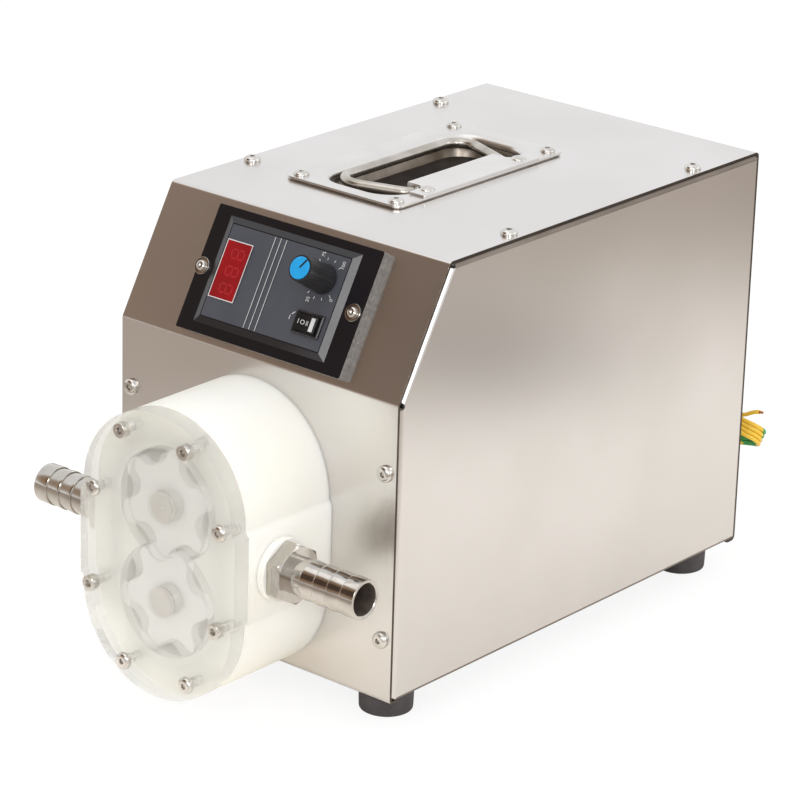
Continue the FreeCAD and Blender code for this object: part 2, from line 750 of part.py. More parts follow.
def handle_strip():
    """Strip over the pivot, notched where the legs of the bail come up."""
    low = HOUSING_H + PLATE_T
    y0 = HANDLE_Y - STRIP_HALF_Y
    y1 = HANDLE_Y + STRIP_HALF_Y
    strip = rounded_plate(STRIP_X, (y0, y1), 1.0, low, low + STRIP_T)
    tools = []
    for side in (-1, 1):
        a = HANDLE_Y + side * NOTCH_Y
        b = HANDLE_Y + side * (STRIP_HALF_Y + 6)
        tools.append(rounded_plate((STRIP_X[0] - 8, NOTCH_X), (min(a, b), max(a, b)), NOTCH_R,
                                   low - 1, low + STRIP_T + 1))
        tools.append(rod(RIVET_R, 10.0, (RIVET_X, HANDLE_Y + side * RIVET_Y, low - 5), AZ))
    return cut(strip, tools)


def handle_saddles():
    """Two bearing blocks under the strip, each with a stop tongue under a leg."""
    pieces = []
    x_front = PIVOT_X - SADDLE_X[0]
    tongue_x = (x_front, PIVOT_X - TONGUE_IN_X)
    low = PIVOT_Z - SADDLE_LOW
    high = HOUSING_H + PLATE_T
    tongue_top = PIVOT_Z - BAIL_R - FREE_GAP
    for side in (-1, 1):
        inner, outer, end = [HANDLE_Y + side * y for y in (SADDLE_Y[0], SADDLE_Y[1], TONGUE_OUT_Y)]
        block_y = (min(inner, outer), max(inner, outer))
        tongue_y = (min(inner, end), max(inner, end))
        block = box((x_front, PIVOT_X + SADDLE_X[1]), block_y, (low, high))
        bore = rod(BAIL_R + RUN_GAP, block_y[1] - block_y[0], (PIVOT_X, block_y[0], PIVOT_Z), AY)
        tongue = box(tongue_x, tongue_y, (tongue_top - TONGUE_T, tongue_top))
        pieces.append(fuse([block.cut(bore), tongue.cut(bore)]))
    return group(pieces)


def handle_rivets():
    """Two flat rivets through the strip and the plate."""
    top = HOUSING_H + PLATE_T + STRIP_T
    pieces = []
    for side in (-1, 1):
        y = HANDLE_Y + side * RIVET_Y
        shank = rod(RIVET_R, PLATE_T + STRIP_T, (RIVET_X, y, HOUSING_H), AZ)
        head = dome(RIVET_HEAD_R, RIVET_HEAD_H, (RIVET_X, y, top), AZ)
        pieces.append(fuse([shank, head]))
    return group(pieces)


def handle_screws():
    """Four button screws of the handle plate."""
    top = HOUSING_H + PLATE_T
    pieces = []
    for x, y in PLATE_SCREWS:
        pieces.append(button_screw(x, HANDLE_Y + y, top, AZ, PLATE_SCREW_LEN, PLATE_HEAD_R, PLATE_HEAD_H))
    return group(pieces)


def rounded_path(points, radii):
    """Open wire of straight runs and tangent arcs; one radius per inner point."""
    vectors = [V(*point) for point in points]
    edges = []
    start = vectors[0]
    for i in range(1, len(vectors) - 1):
        corner = vectors[i]
        to_last = (vectors[i - 1] - corner).normalize()
        to_next = (vectors[i + 1] - corner).normalize()
        angle = to_last.getAngle(to_next)
        back = radii[i - 1] / math.tan(angle / 2.0)
        a = corner + to_last * back
        b = corner + to_next * back
        middle_way = (to_last + to_next).normalize()
        centre = corner + middle_way * (radii[i - 1] / math.sin(angle / 2.0))
        middle = centre - middle_way * radii[i - 1]
        edges.append(Part.LineSegment(start, a).toShape())
        edges.append(Part.Arc(a, middle, b).toShape())
        start = b
    edges.append(Part.LineSegment(start, vectors[-1]).toShape())
    return Part.Wire(edges)


def swept(path, radius):
    """Round rod along a path."""
    first = path.Edges[0]
    at = first.valueAt(first.FirstParameter)
    along = first.tangentAt(first.FirstParameter)
    section = Part.Wire(Part.Circle(at, along, radius).toShape())
    return path.makePipeShell([section], True, False)


def handle_bail():
    """Round bar bent to a bail, its ends turned in along the pivot."""
    y = HANDLE_Y
    points = [(PIVOT_X, y - PIVOT_END_Y, PIVOT_Z), (PIVOT_X, y - LEG_Y, PIVOT_Z),
              (GRIP_X, y - GRIP_HALF_Y, GRIP_Z), (GRIP_X, y + GRIP_HALF_Y, GRIP_Z),
              (PIVOT_X, y + LEG_Y, PIVOT_Z), (PIVOT_X, y + PIVOT_END_Y, PIVOT_Z)]
    radii = [LEG_CORNER_R, GRIP_CORNER_R, GRIP_CORNER_R, LEG_CORNER_R]
    return swept(rounded_path(points, radii), BAIL_R)


def panel_frame():
    """Black frame of the controller: flange, shallow raised field and the rear case."""
    flange = rounded_plate(FLANGE_X, FLANGE_U, FLANGE_CORNER_R, 0, FLANGE_T)
    low = polygon_wire([(RISE_LOW_X[0], RISE_LOW_U[0], FLANGE_T), (RISE_LOW_X[1], RISE_LOW_U[0], FLANGE_T),
                        (RISE_LOW_X[1], RISE_LOW_U[1], FLANGE_T), (RISE_LOW_X[0], RISE_LOW_U[1], FLANGE_T)])
    top_n = FLANGE_T + RISE_H
    top = polygon_wire([(RISE_TOP_X[0], RISE_TOP_U[0], top_n), (RISE_TOP_X[1], RISE_TOP_U[0], top_n),
                        (RISE_TOP_X[1], RISE_TOP_U[1], top_n), (RISE_TOP_X[0], RISE_TOP_U[1], top_n)])
    rise = Part.makeLoft([low, top], True, True)
    case = box(CASE_X, CASE_U, (-CASE_DEEP, 0))
    inside = box((CASE_X[0] + CASE_WALL, CASE_X[1] - CASE_WALL),
                 (CASE_U[0] + CASE_WALL, CASE_U[1] - CASE_WALL), (-CASE_DEEP - 1, FLANGE_T - 1.0))
    tools = [inside, face_seat(), window_seat(), switch_seat()]
    tools.append(rod(POT_NECK_R, 20.0, (KNOB_X, KNOB_U, -5), AZ))
    for x in PANEL_SCREW_X:
        tools.append(rod(PANEL_SCREW_R, 20.0, (x, PANEL_SCREW_U, -5), AZ))
    return on_slope(cut(fuse([flange, rise, case]), tools))


def face_seat():
    """Shallow pocket that takes the printed face."""
    top_n = FLANGE_T + RISE_H
    return box((RISE_TOP_X[0] + 0.6, RISE_TOP_X[1] - 0.6), (RISE_TOP_U[0] + 0.6, RISE_TOP_U[1] - 0.6),
               (top_n - FACE_T, top_n + 1))


def window_seat():
    """Room for the display window."""
    top_n = FLANGE_T + RISE_H
    return box(WINDOW_X, WINDOW_U, (top_n - WINDOW_DEEP, top_n + 2))


def switch_seat():
    """Cut-out for the rocker switch."""
    return box((SWITCH_X - SWITCH_HALF_X + SWITCH_RIM, SWITCH_X + SWITCH_HALF_X - SWITCH_RIM),
               (SWITCH_U - SWITCH_HALF_U + SWITCH_RIM, SWITCH_U + SWITCH_HALF_U - SWITCH_RIM), (-5, 20))


def case_back():
    """Rear lid of the controller case with its terminal block."""
    lid = box((CASE_X[0] + CASE_WALL, CASE_X[1] - CASE_WALL),
              (CASE_U[0] + CASE_WALL, CASE_U[1] - CASE_WALL), (-CASE_DEEP, 2.0 - CASE_DEEP))
    block = box((-TERMINAL_HALF_X, TERMINAL_HALF_X), TERMINAL_U, (-CASE_DEEP - TERMINAL_H, -CASE_DEEP))
    pitch = 2 * TERMINAL_HALF_X / TERMINAL_WAYS
    slot_u = (TERMINAL_U[0] + 1.5, TERMINAL_U[1] - 1.5)
    slot_n = (-CASE_DEEP - TERMINAL_H - 1, -CASE_DEEP - TERMINAL_H / 2.0)
    slots = []
    for i in range(TERMINAL_WAYS):
        x = pitch * (i + 0.5) - TERMINAL_HALF_X
        slots.append(box((x - 3, x + 3), slot_u, slot_n))
    return on_slope(cut(fuse([lid, block]), slots))


def panel_face():
    """Thin printed face plate, open over the window, the switch and the knob."""
    top_n = FLANGE_T + RISE_H
    plate = box((RISE_TOP_X[0] + 0.6, RISE_TOP_X[1] - 0.6), (RISE_TOP_U[0] + 0.6, RISE_TOP_U[1] - 0.6),
                (top_n - FACE_T, top_n))
    neck_hole = rod(POT_NECK_R, 20.0, (KNOB_X, KNOB_U, -5), AZ)
    return on_slope(cut(plate, [window_seat(), switch_seat(), neck_hole]))


def display_window():
    """Display filter, a little proud of the face."""
    top_n = FLANGE_T + RISE_H
    return on_slope(box(WINDOW_X, WINDOW_U, (top_n - WINDOW_DEEP, top_n + WINDOW_H)))


def panel_screws():
    """Two screws with nuts that clamp the controller to the slope."""
    pieces = []
    for x in PANEL_SCREW_X:
        seat = FLANGE_T + WASHER_T
        grip = seat + SHEET_T + PANEL_NUT_T + 1
        screw = button_screw(x, PANEL_SCREW_U, seat, AZ, grip, PANEL_HEAD_R, PANEL_HEAD_H, PANEL_SCREW_R)
        nut = hexagon(7.0, PANEL_NUT_T, (x, PANEL_SCREW_U, -SHEET_T - PANEL_NUT_T), AZ)
        pieces.append(on_slope(fuse([screw, nut])))
    return group(pieces)


def panel_washers():
    """Washers under the two panel screws."""
    pieces = []
    for x in PANEL_SCREW_X:
        pieces.append(on_slope(tube(WASHER_R, PANEL_SCREW_R, WASHER_T, (x, PANEL_SCREW_U, FLANGE_T), AZ)))
    return group(pieces)


def potentiometer():
    """Speed potentiometer: can, neck and nut behind the face."""
    top_n = FLANGE_T + RISE_H
    can = rod(POT_R, POT_LEN, (KNOB_X, KNOB_U, FLANGE_T - 1.0 - POT_LEN), AZ)
    neck = rod(POT_NECK_R, top_n - FLANGE_T + 1.0 + 0.2, (KNOB_X, KNOB_U, FLANGE_T - 1.0), AZ)
    bore = rod(POT_SHAFT_R + RUN_GAP, 20.0, (KNOB_X, KNOB_U, FLANGE_T - 4.0), AZ)
    return on_slope(fuse([can, neck]).cut(bore))


def pot_shaft():
    """Turning shaft of the potentiometer."""
    start = FLANGE_T - 4.0 + FREE_GAP
    length = FLANGE_T + RISE_H + KNOB_LIFT + POT_SHAFT_LEN - start
    return on_slope(rod(POT_SHAFT_R, length, (KNOB_X, KNOB_U, start), AZ))


def speed_knob():
    """Fluted knob with a pointer groove and a seat for its coloured cap."""
    low = FLANGE_T + RISE_H + KNOB_LIFT
    top = low + KNOB_H
    skirt = cone(KNOB_BASE_R, KNOB_BASE_R - 0.3, FLUTE_LOW, (KNOB_X, KNOB_U, low), AZ)
    body = cone(KNOB_BASE_R - 0.3, KNOB_TOP_R, KNOB_H - FLUTE_LOW, (KNOB_X, KNOB_U, low + FLUTE_LOW), AZ)
    tools = [rod(CAP_R, CAP_SINK + 1, (KNOB_X, KNOB_U, top - CAP_SINK), AZ)]
    for i in range(KNOB_FLUTES):
        a = math.radians(360.0 * i / KNOB_FLUTES + POINTER_ANGLE + 10)
        c, s = math.cos(a), math.sin(a)
        foot = V(KNOB_X + c * (KNOB_BASE_R - 0.1), KNOB_U + s * (KNOB_BASE_R - 0.1), low + FLUTE_LOW)
        head = V(KNOB_X + c * (KNOB_TOP_R + 0.2), KNOB_U + s * (KNOB_TOP_R + 0.2), top + 0.5)
        tools.append(Part.makeCylinder(FLUTE_R, (head - foot).Length, foot, head - foot))
    tools.append(rod(POT_SHAFT_R, POT_SHAFT_LEN, (KNOB_X, KNOB_U, low), AZ))
    return on_slope(cut(fuse([skirt, body]), tools))


def knob_cap():
    """Coloured disc in the end of the knob, with the pointer groove."""
    top = FLANGE_T + RISE_H + KNOB_LIFT + KNOB_H
    disc = rod(CAP_R, CAP_SINK + CAP_RISE, (KNOB_X, KNOB_U, top - CAP_SINK), AZ)
    disc = disc.makeFillet(0.3, [e for e in disc.Edges if e.Vertexes[0].Z > top and e.Vertexes[-1].Z > top
                                 and e.Closed])
    groove = box((0, CAP_R + 1), (-POINTER_W / 2.0, POINTER_W / 2.0), (top + CAP_RISE - 0.6, top + 3))
    groove.Placement = FreeCAD.Placement(V(KNOB_X, KNOB_U, 0), FreeCAD.Rotation(V(0, 0, 1), POINTER_ANGLE))
    return on_slope(disc.cut(groove))


def switch_body():
    """Rocker switch housing with its rim."""
    top_n = FLANGE_T + RISE_H
    rim = box((SWITCH_X - SWITCH_HALF_X, SWITCH_X + SWITCH_HALF_X),
              (SWITCH_U - SWITCH_HALF_U, SWITCH_U + SWITCH_HALF_U), (top_n, top_n + SWITCH_LIP_H))
    rim = rim.makeChamfer(0.6, [e for e in rim.Edges if e.BoundBox.ZMin > top_n + SWITCH_LIP_H - 0.01])
    can = box((SWITCH_X - SWITCH_HALF_X + SWITCH_RIM, SWITCH_X + SWITCH_HALF_X - SWITCH_RIM),
              (SWITCH_U - SWITCH_HALF_U + SWITCH_RIM, SWITCH_U + SWITCH_HALF_U - SWITCH_RIM),
              (top_n - SWITCH_DEEP, top_n))
    well = box((SWITCH_X - ROCKER_HALF_X - FREE_GAP, SWITCH_X + ROCKER_HALF_X + FREE_GAP),
               (SWITCH_U - ROCKER_HALF_U - FREE_GAP, SWITCH_U + ROCKER_HALF_U + FREE_GAP),
               (top_n - 7.0, top_n + 5))
    tags = [box((SWITCH_X + dx - 0.4, SWITCH_X + dx + 0.4), (SWITCH_U - 2, SWITCH_U + 2),
                (top_n - SWITCH_DEEP - 6, top_n - SWITCH_DEEP)) for dx in (-5, 0, 5)]
    pin_hole = rocker_pin(ROCKER_PIN_R + RUN_GAP, ROCKER_PIN_OUT + RUN_GAP)
    return on_slope(fuse([cut(fuse([rim, can]), [well, pin_hole])] + tags))


def rocker_pin(radius, reach):
    """Cross pin on the rocker's pivot line, reaching past both its sides."""
    half = ROCKER_HALF_U + FREE_GAP + reach
    pivot_n = FLANGE_T + RISE_H + ROCKER_PIVOT_N
    return rod(radius, 2 * half, (SWITCH_X, SWITCH_U - half, pivot_n), AY)


def switch_rocker():
    """Rocker with a shallow V top, on a pivot across the switch."""
    top_n = FLANGE_T + RISE_H
    pivot_n = top_n + ROCKER_PIVOT_N
    end_n = top_n + SWITCH_LIP_H + 1.3
    mid_n = top_n + SWITCH_LIP_H + 0.1
    hw = ROCKER_HALF_X
    profile = [(-hw, top_n - 0.6), (-hw + 0.5, end_n), (0, mid_n), (hw - 0.5, end_n), (hw, top_n - 0.6),
               (3.0, pivot_n - 2.5), (-3.0, pivot_n - 2.5)]
    points = [(SWITCH_X + x, SWITCH_U - ROCKER_HALF_U, n) for x, n in profile]
    body = Part.Face(polygon_wire(points)).extrude(V(0, 2 * ROCKER_HALF_U, 0))
    return on_slope(fuse([body, rocker_pin(ROCKER_PIN_R, ROCKER_PIN_OUT - RUN_GAP)]))


def head_outline(y0, y1):
    """Outline solid of the pump head: an obround with two port pads."""
    body = obround(BODY_R, y0, y1)
    step = PAD_HALF_X - BODY_R + 2.0
    pad = []
    for sx, sz in ((-1, -1), (1, -1), (1, 1), (-1, 1)):
        outer = (sx * PAD_HALF_X, HEAD_Z + sz * PAD_HALF_Z)
        inner = (sx * (PAD_HALF_X - step), HEAD_Z + sz * (PAD_HALF_Z + step))
        pad.extend([outer, inner] if sx * sz > 0 else [inner, outer])
    return body.fuse(xz_prism(pad, y0, y1)).removeSplitter()


def cover_screw_places():
    """Centres of the clear cover's screws as (x, z), by head form."""
    half = SHAFT_SPACING / 2.0
    c = COVER_BOLT_R * math.cos(math.radians(60))
    s = COVER_BOLT_R * math.sin(math.radians(60))
    caps = [(c, half + s), (COVER_BOLT_R, -half)]
    buttons = [(COVER_BOLT_R, half), (c, -half - s)]
    return {"cap": [(side * x, HEAD_Z + z) for x, z in caps for side in (-1, 1)],
            "button": [(side * x, HEAD_Z + z) for x, z in buttons for side in (-1, 1)]}


def all_cover_screws():
    """Centres of all the screws of the clear cover."""
    places = cover_screw_places()
    return places["cap"] + places["button"]


def pump_body():
    """Plastic pump body: gear pocket, ports, bushing seats and screw holes."""
    front = -BODY_DEPTH
    body = head_outline(front, 0.0)
    pocket_end = front + GEAR_W + 2 * GEAR_SIDE_GAP
    tools = []
    for z in (IDLE_Z, DRIVE_Z):
        tools.append(rod(POCKET_R, pocket_end - front, (0, front, z), AY))
    tools.append(rod(PORT_R, 2 * PAD_HALF_X, (-PAD_HALF_X, PORT_Y, PORT_Z), AX))
    for side in (-1, 1):
        tools.append(rod(THREAD_R, THREAD_DEEP, (side * PAD_HALF_X, PORT_Y, PORT_Z), (-side, 0, 0)))
    tools.append(rod(BUSH_R, BUSH_LEN, (0, pocket_end, IDLE_Z), AY))
    tools.append(rod(BUSH_R, BUSH_LEN, (0, pocket_end, DRIVE_Z), AY))
    tools.append(rod(SEAL_R, SEAL_T, (0, -SEAL_T, DRIVE_Z), AY))
    tools.append(rod(SHAFT_R + 0.5, BODY_DEPTH, (0, pocket_end, DRIVE_Z), AY))
    groove = obround(RING_MID_R + RING_W / 2.0, front, front + RING_DEEP)
    tools.append(groove.cut(obround(RING_MID_R - RING_W / 2.0, front, front + RING_DEEP)))
    for x, z in all_cover_screws():
        tools.append(rod(M5_R, COVER_SCREW_DEEP, (x, front, z), AY))
    for x, z in head_screw_places():
        tools.append(rod(HEAD_SCREW_R, HEAD_SCREW_IN, (x, -HEAD_SCREW_IN, z), AY))
    return cut(body, tools)


def pump_cover():
    """Clear cover plate with blind journal bores and screw holes."""
    back = -BODY_DEPTH
    front = back - COVER_T
    plate = head_outline(front, back)
    tools = []
    for z in (IDLE_Z, DRIVE_Z):
        tools.append(rod(SHAFT_R + RUN_GAP, JOURNAL_IN + JOURNAL_END_GAP, (0, back, z), (0, -1, 0)))
    for x, z in all_cover_screws():
        tools.append(rod(M5_HOLE_R, COVER_T, (x, front, z), AY))
    return cut(plate, tools)


def cover_seal():
    """Rubber ring between the body and the cover."""
    front = -BODY_DEPTH
    outer = obround(RING_MID_R + RING_W / 2.0, front, front + RING_DEEP)
    return outer.cut(obround(RING_MID_R - RING_W / 2.0, front, front + RING_DEEP))


def cover_screws(form):
    """Cover screws of one head form."""
    maker = {"cap": cap_screw, "button": button_screw}[form]
    length = COVER_T + COVER_SCREW_DEEP - 1.0
    return group([maker(x, COVER_FACE_Y, z, (0, -1, 0), length) for x, z in cover_screw_places()[form]])


def cycloid_point(angle, outside):
    """Point of a lobe flank and its outward direction, seen along the shaft.

    The flank is the path of a point on a small circle rolling outside the pitch
    circle (tips) or inside it (roots); its normal runs through the rolling contact.
    """
    side = 1.0 if outside else -1.0
    arm = GEAR_PITCH_R + side * ROLLING_R
    spin = arm / ROLLING_R * angle
    x = arm * math.cos(angle) - side * ROLLING_R * math.cos(spin)
    y = arm * math.sin(angle) - ROLLING_R * math.sin(spin)
    out_x = side * (x - GEAR_PITCH_R * math.cos(angle))
    out_y = side * (y - GEAR_PITCH_R * math.sin(angle))
    size = math.hypot(out_x, out_y)
    return x - FLANK_GAP * out_x / size, y - FLANK_GAP * out_y / size


def gear(centre_z, turn):
    """Six-lobed pump gear; the flanks are cycloids, so the pair always stays in contact."""
    front = -BODY_DEPTH + GEAR_SIDE_GAP
    half_pitch = math.pi / GEAR_TEETH
    points = []
    for i in range(2 * GEAR_TEETH):
        outside = i % 2 == 0
        start = math.radians(turn) + half_pitch * (i - 0.5)
        for k in range(FLANK_STEPS):
            x, y = cycloid_point(half_pitch * (k + 0.5) / FLANK_STEPS, outside)
            points.append(V(x * math.cos(start) - y * math.sin(start), front,
                            centre_z + x * math.sin(start) + y * math.cos(start)))
    outline = Part.BSplineCurve()
    outline.interpolate(points, PeriodicFlag=True)
    solid = Part.Face(Part.Wire([outline.toShape()])).extrude(V(0, GEAR_W, 0))
    bore = rod(SHAFT_R, GEAR_W, (0, front, centre_z), AY)
    return cut(solid, [bore, key_bar(centre_z)])


def key_bar(centre_z):
    """Key that turns a gear with its shaft."""
    front = -BODY_DEPTH + GEAR_SIDE_GAP
    return box((-KEY_W / 2.0, KEY_W / 2.0), (front + 8.0, front + GEAR_W - 8.0),
               (centre_z + SHAFT_R - KEY_H / 2.0, centre_z + SHAFT_R + KEY_H / 2.0))


def drive_shaft():
    """Shaft from the cover journal through the gear, seal and panel to the coupling."""
    start = -BODY_DEPTH - JOURNAL_IN
    thick_end = 2.0
    thick = rod(SHAFT_R, thick_end - start, (0, start, DRIVE_Z), AY)
    thin = rod(SHAFT_STEP_R, SHAFT_OUT - thick_end, (0, thick_end, DRIVE_Z), AY)
    dimple = cone(CENTRE_R, 0.2, CENTRE_R, (0, start, DRIVE_Z), AY)
    return cut(fuse([thick, thin]), [dimple, key_bar(DRIVE_Z)])


def idle_shaft():
    """Short shaft of the driven gear."""
    start = -BODY_DEPTH - JOURNAL_IN
    end = -BODY_DEPTH + GEAR_W + 2 * GEAR_SIDE_GAP + BUSH_LEN - FREE_GAP
    shaft = rod(SHAFT_R, end - start, (0, start, IDLE_Z), AY)
    dimple = cone(CENTRE_R, 0.2, CENTRE_R, (0, start, IDLE_Z), AY)
    return cut(shaft, [dimple, key_bar(IDLE_Z)])


def bushings():
    """Two plain bushings in the rear wall of the pump body."""
    start = -BODY_DEPTH + GEAR_W + 2 * GEAR_SIDE_GAP
    return group([tube(BUSH_R, SHAFT_R + RUN_GAP, BUSH_LEN, (0, start, z), AY) for z in (IDLE_Z, DRIVE_Z)])


def shaft_seal():
    """Lip seal round the drive shaft."""
    ring = tube(SEAL_R, SHAFT_R + 2.4, SEAL_T, (0, -SEAL_T, DRIVE_Z), AY)
    lip = tube(SHAFT_R + 2.4, SHAFT_R + RUN_GAP, 2.0, (0, -SEAL_T, DRIVE_Z), AY)
    return fuse([ring, lip])


def port_washers():
    """White sealing washers under the two hose tails."""
    pieces = []
    for side in (-1, 1):
        base = (side * PAD_HALF_X, PORT_Y, PORT_Z)
        ring = tube(PORT_WASHER_R, THREAD_R, PORT_WASHER_T, base, (side, 0, 0))
        pieces.append(ring)
    return group(pieces)


def hose_tail(side):
    """Hexagon hose tail with four barbs."""
    start = PAD_HALF_X - THREAD_DEEP
    seat = PAD_HALF_X + PORT_WASHER_T
    axis = (side, 0, 0)

    def base(x):
        return (side * x, PORT_Y, PORT_Z)

    pieces = [rod(THREAD_R, seat - start, base(start), axis)]
    nut = hexagon(TAIL_HEX_AF, TAIL_HEX_LEN, base(seat), axis, 17.0)
    corner_r = TAIL_HEX_AF / math.sqrt(3.0)
    crown = rod(corner_r + 1, TAIL_HEX_LEN - 1.5, base(seat), axis)
    cap = cone(corner_r + 0.4, corner_r - 2.2, 1.5, base(seat + TAIL_HEX_LEN - 1.5), axis)
    pieces.append(nut.common(fuse([crown, cap])))
    x = seat + TAIL_HEX_LEN
    pieces.append(rod(TAIL_NECK_R, TAIL_NECK_LEN, base(x), axis))
    x += TAIL_NECK_LEN
    for i in range(BARB_COUNT):
        pieces.append(rod(BARB_TOP_R, BARB_LAND, base(x), axis))
        pieces.append(cone(BARB_TOP_R, BARB_LOW_R, BARB_PITCH - BARB_LAND, base(x + BARB_LAND), axis))
        x += BARB_PITCH
    bore = rod(TAIL_BORE_R, x - start, base(start), axis)
    mouth = cone(TAIL_BORE_R, TAIL_BORE_R + TAIL_CHAMFER, TAIL_CHAMFER, base(x - TAIL_CHAMFER), axis)
    return cut(fuse(pieces), [bore, mouth])


def mount_plate():
    """Steel plate behind the front sheet that carries the pump head."""
    y0 = SHEET_T
    y1 = SHEET_T + MOUNT_PLATE_T
    plate_z = (HEAD_Z - MOUNT_PLATE_DOWN, HEAD_Z + MOUNT_PLATE_UP)
    plate = box((-MOUNT_PLATE_X, MOUNT_PLATE_X), (y0, y1), plate_z)
    tools = [rod(SHAFT_HOLE_R, 20.0, (0, -5, DRIVE_Z), AY)]
    for x, z in head_screw_places():
        tools.append(rod(HEAD_SCREW_R + 0.3, 20.0, (x, -5, z), AY))
    return cut(plate, tools)


def head_screws():
    """Screws from inside the housing into the back of the pump body."""
    seat = SHEET_T + MOUNT_PLATE_T
    pieces = []
    for x, z in head_screw_places():
        head = rod(HEAD_SCREW_HEAD_R, HEAD_SCREW_HEAD_H, (x, seat, z), AY)
        shank = rod(HEAD_SCREW_R, seat + HEAD_SCREW_IN - 2.0, (x, 2.0 - HEAD_SCREW_IN, z), AY)
        key = hexagon(5.0, 3.0, (x, seat + HEAD_SCREW_HEAD_H - 3.0, z), AY)
        pieces.append(fuse([head, shank]).cut(key))
    return group(pieces)


def hub_places():
    """Start planes of the two coupling hubs along Y."""
    first = SHAFT_OUT - HUB_LEN
    second = first + HUB_LEN + HUB_GAP
    return first, second


def spider_legs(half_width, y0, length):
    """Six radial bars about the drive line, between the jaws of the hubs."""
    legs = []
    for i in range(6):
        leg = box((0, HUB_R + 1), (y0, y0 + length), (-half_width, half_width))
        leg.Placement = FreeCAD.Placement(V(0, 0, DRIVE_Z), FreeCAD.Rotation(V(0, 1, 0), 60.0 * i + 30.0))
        legs.append(leg)
    return legs


def coupling_hub(y0, away):
    """Coupling hub with three jaws that reach over the spider gap."""
    hub = rod(HUB_R, HUB_LEN, (0, y0, DRIVE_Z), AY)
    reach = HUB_GAP - JAW_GAP
    jaw_y = y0 + HUB_LEN if away > 0 else y0 - reach
    ring = tube(HUB_R, SPIDER_CORE_R + SPIDER_GAP, reach, (0, jaw_y, DRIVE_Z), AY)
    ring = cut(ring, spider_legs(SPIDER_LEG_HALF + SPIDER_GAP, jaw_y - 1.0, reach + 2.0))
    jaws = []
    for jaw in ring.Solids:
        centre = jaw.CenterOfMass
        sixth = round(math.degrees(math.atan2(centre.z - DRIVE_Z, centre.x)) / 60.0)
        if (sixth % 2 == 0) == (away > 0):
            jaws.append(jaw)
    bore = rod(SHAFT_STEP_R, HUB_LEN, (0, y0, DRIVE_Z), AY)
    return cut(fuse([hub] + jaws), [bore])


def coupling_spider():
    """Elastic spider between the two hubs."""
    y0 = SHAFT_OUT + SPIDER_GAP
    length = HUB_GAP - 2 * SPIDER_GAP
    core = rod(SPIDER_CORE_R, length, (0, y0, DRIVE_Z), AY)
    star = fuse([core] + spider_legs(SPIDER_LEG_HALF, y0, length))
    return star.common(rod(SPIDER_R, length, (0, y0, DRIVE_Z), AY))


def gearbox_shaft():
    """Output shaft of the gearbox, on the pump's drive line."""
    start = hub_places()[1] + 1.0
    return rod(GEARBOX_SHAFT_R, BRACKET_Y + BRACKET_T - start, (0, start, DRIVE_Z), AY)


def motor_bracket():
    """Angle bracket that carries the gearmotor on the base."""
    floor = WRAP_INSET + SHEET_T
    width = (-BRACKET_HALF_X, BRACKET_HALF_X)
    wall = box(width, (BRACKET_Y, BRACKET_Y + BRACKET_T), (floor, BRACKET_TOP_Z))
    foot = box(width, (BRACKET_Y, BRACKET_Y + BRACKET_FOOT), (floor, floor + BRACKET_FOOT_T))
    tools = [rod(GEARBOX_SPIGOT_R, 20.0, (0, BRACKET_Y - 5, DRIVE_Z), AY)]
    for x in (-GEARBOX_BOLT, GEARBOX_BOLT):
        for dz in (-GEARBOX_BOLT, GEARBOX_BOLT):
            tools.append(rod(M5_R, 20.0, (x, BRACKET_Y - 5, DRIVE_Z + dz), AY))
    for x, y in bracket_screw_places():
        tools.append(rod(M5_R, 20.0, (x, y, -5), AZ))
    return cut(fuse([wall, foot]), tools)


def bracket_screws():
    """Screws of the gearbox flange and of the bracket's foot."""
    pieces = []
    for sx in (-1, 1):
        for sz in (-1, 1):
            pieces.append(cap_screw(sx * GEARBOX_BOLT, BRACKET_Y, DRIVE_Z + sz * GEARBOX_BOLT,
                                    (0, -1, 0), BRACKET_T + GEARBOX_GRIP))
    foot_grip = SHEET_T + BRACKET_FOOT_T + 1.0
    for x, y in bracket_screw_places():
        pieces.append(button_screw(x, y, WRAP_INSET, (0, 0, -1), foot_grip, 4.4, 2.4))
    return group(pieces)


def gearbox():
    """Square gearbox with a spigot and the motor's mounting face."""
    y0 = BRACKET_Y + BRACKET_T
    half = GEARBOX_HALF
    block = box((-half, half), (y0, y0 + GEARBOX_LEN), (DRIVE_Z - half, DRIVE_Z + half))
    block = block.makeChamfer(5.0, [e for e in block.Edges
                                    if abs(e.Vertexes[0].Y - e.Vertexes[-1].Y) > GEARBOX_LEN / 2.0])
    spigot = rod(GEARBOX_SPIGOT_R, GEARBOX_SPIGOT_H, (0, y0 - GEARBOX_SPIGOT_H, DRIVE_Z), AY)
    bore = rod(GEARBOX_SHAFT_R + RUN_GAP, GEARBOX_SPIGOT_H + 0.1, (0, y0 - GEARBOX_SPIGOT_H, DRIVE_Z), AY)
    holes = [rod(M5_R, GEARBOX_GRIP, (sx * GEARBOX_BOLT, y0, DRIVE_Z + sz * GEARBOX_BOLT), AY)
             for sx in (-1, 1) for sz in (-1, 1)]
    return cut(fuse([block, spigot]), [bore] + holes)


def motor():
    """Ribbed round motor behind the gearbox, with its end cap."""
    y0 = BRACKET_Y + BRACKET_T + GEARBOX_LEN
    pieces = [rod(MOTOR_R - MOTOR_RIB_H, MOTOR_LEN, (0, y0, DRIVE_Z), AY)]
    pitch = MOTOR_LEN / MOTOR_RIBS
    for i in range(MOTOR_RIBS):
        pieces.append(rod(MOTOR_R, pitch * 0.6, (0, y0 + pitch * (i + 0.2), DRIVE_Z), AY))
    pieces.append(rod(MOTOR_CAP_R, MOTOR_CAP_LEN, (0, y0 + MOTOR_LEN, DRIVE_Z), AY))
    return fuse(pieces)


def board_level():
    """Height of the power board's lower face."""
    return WRAP_INSET + SHEET_T + SPACER_H


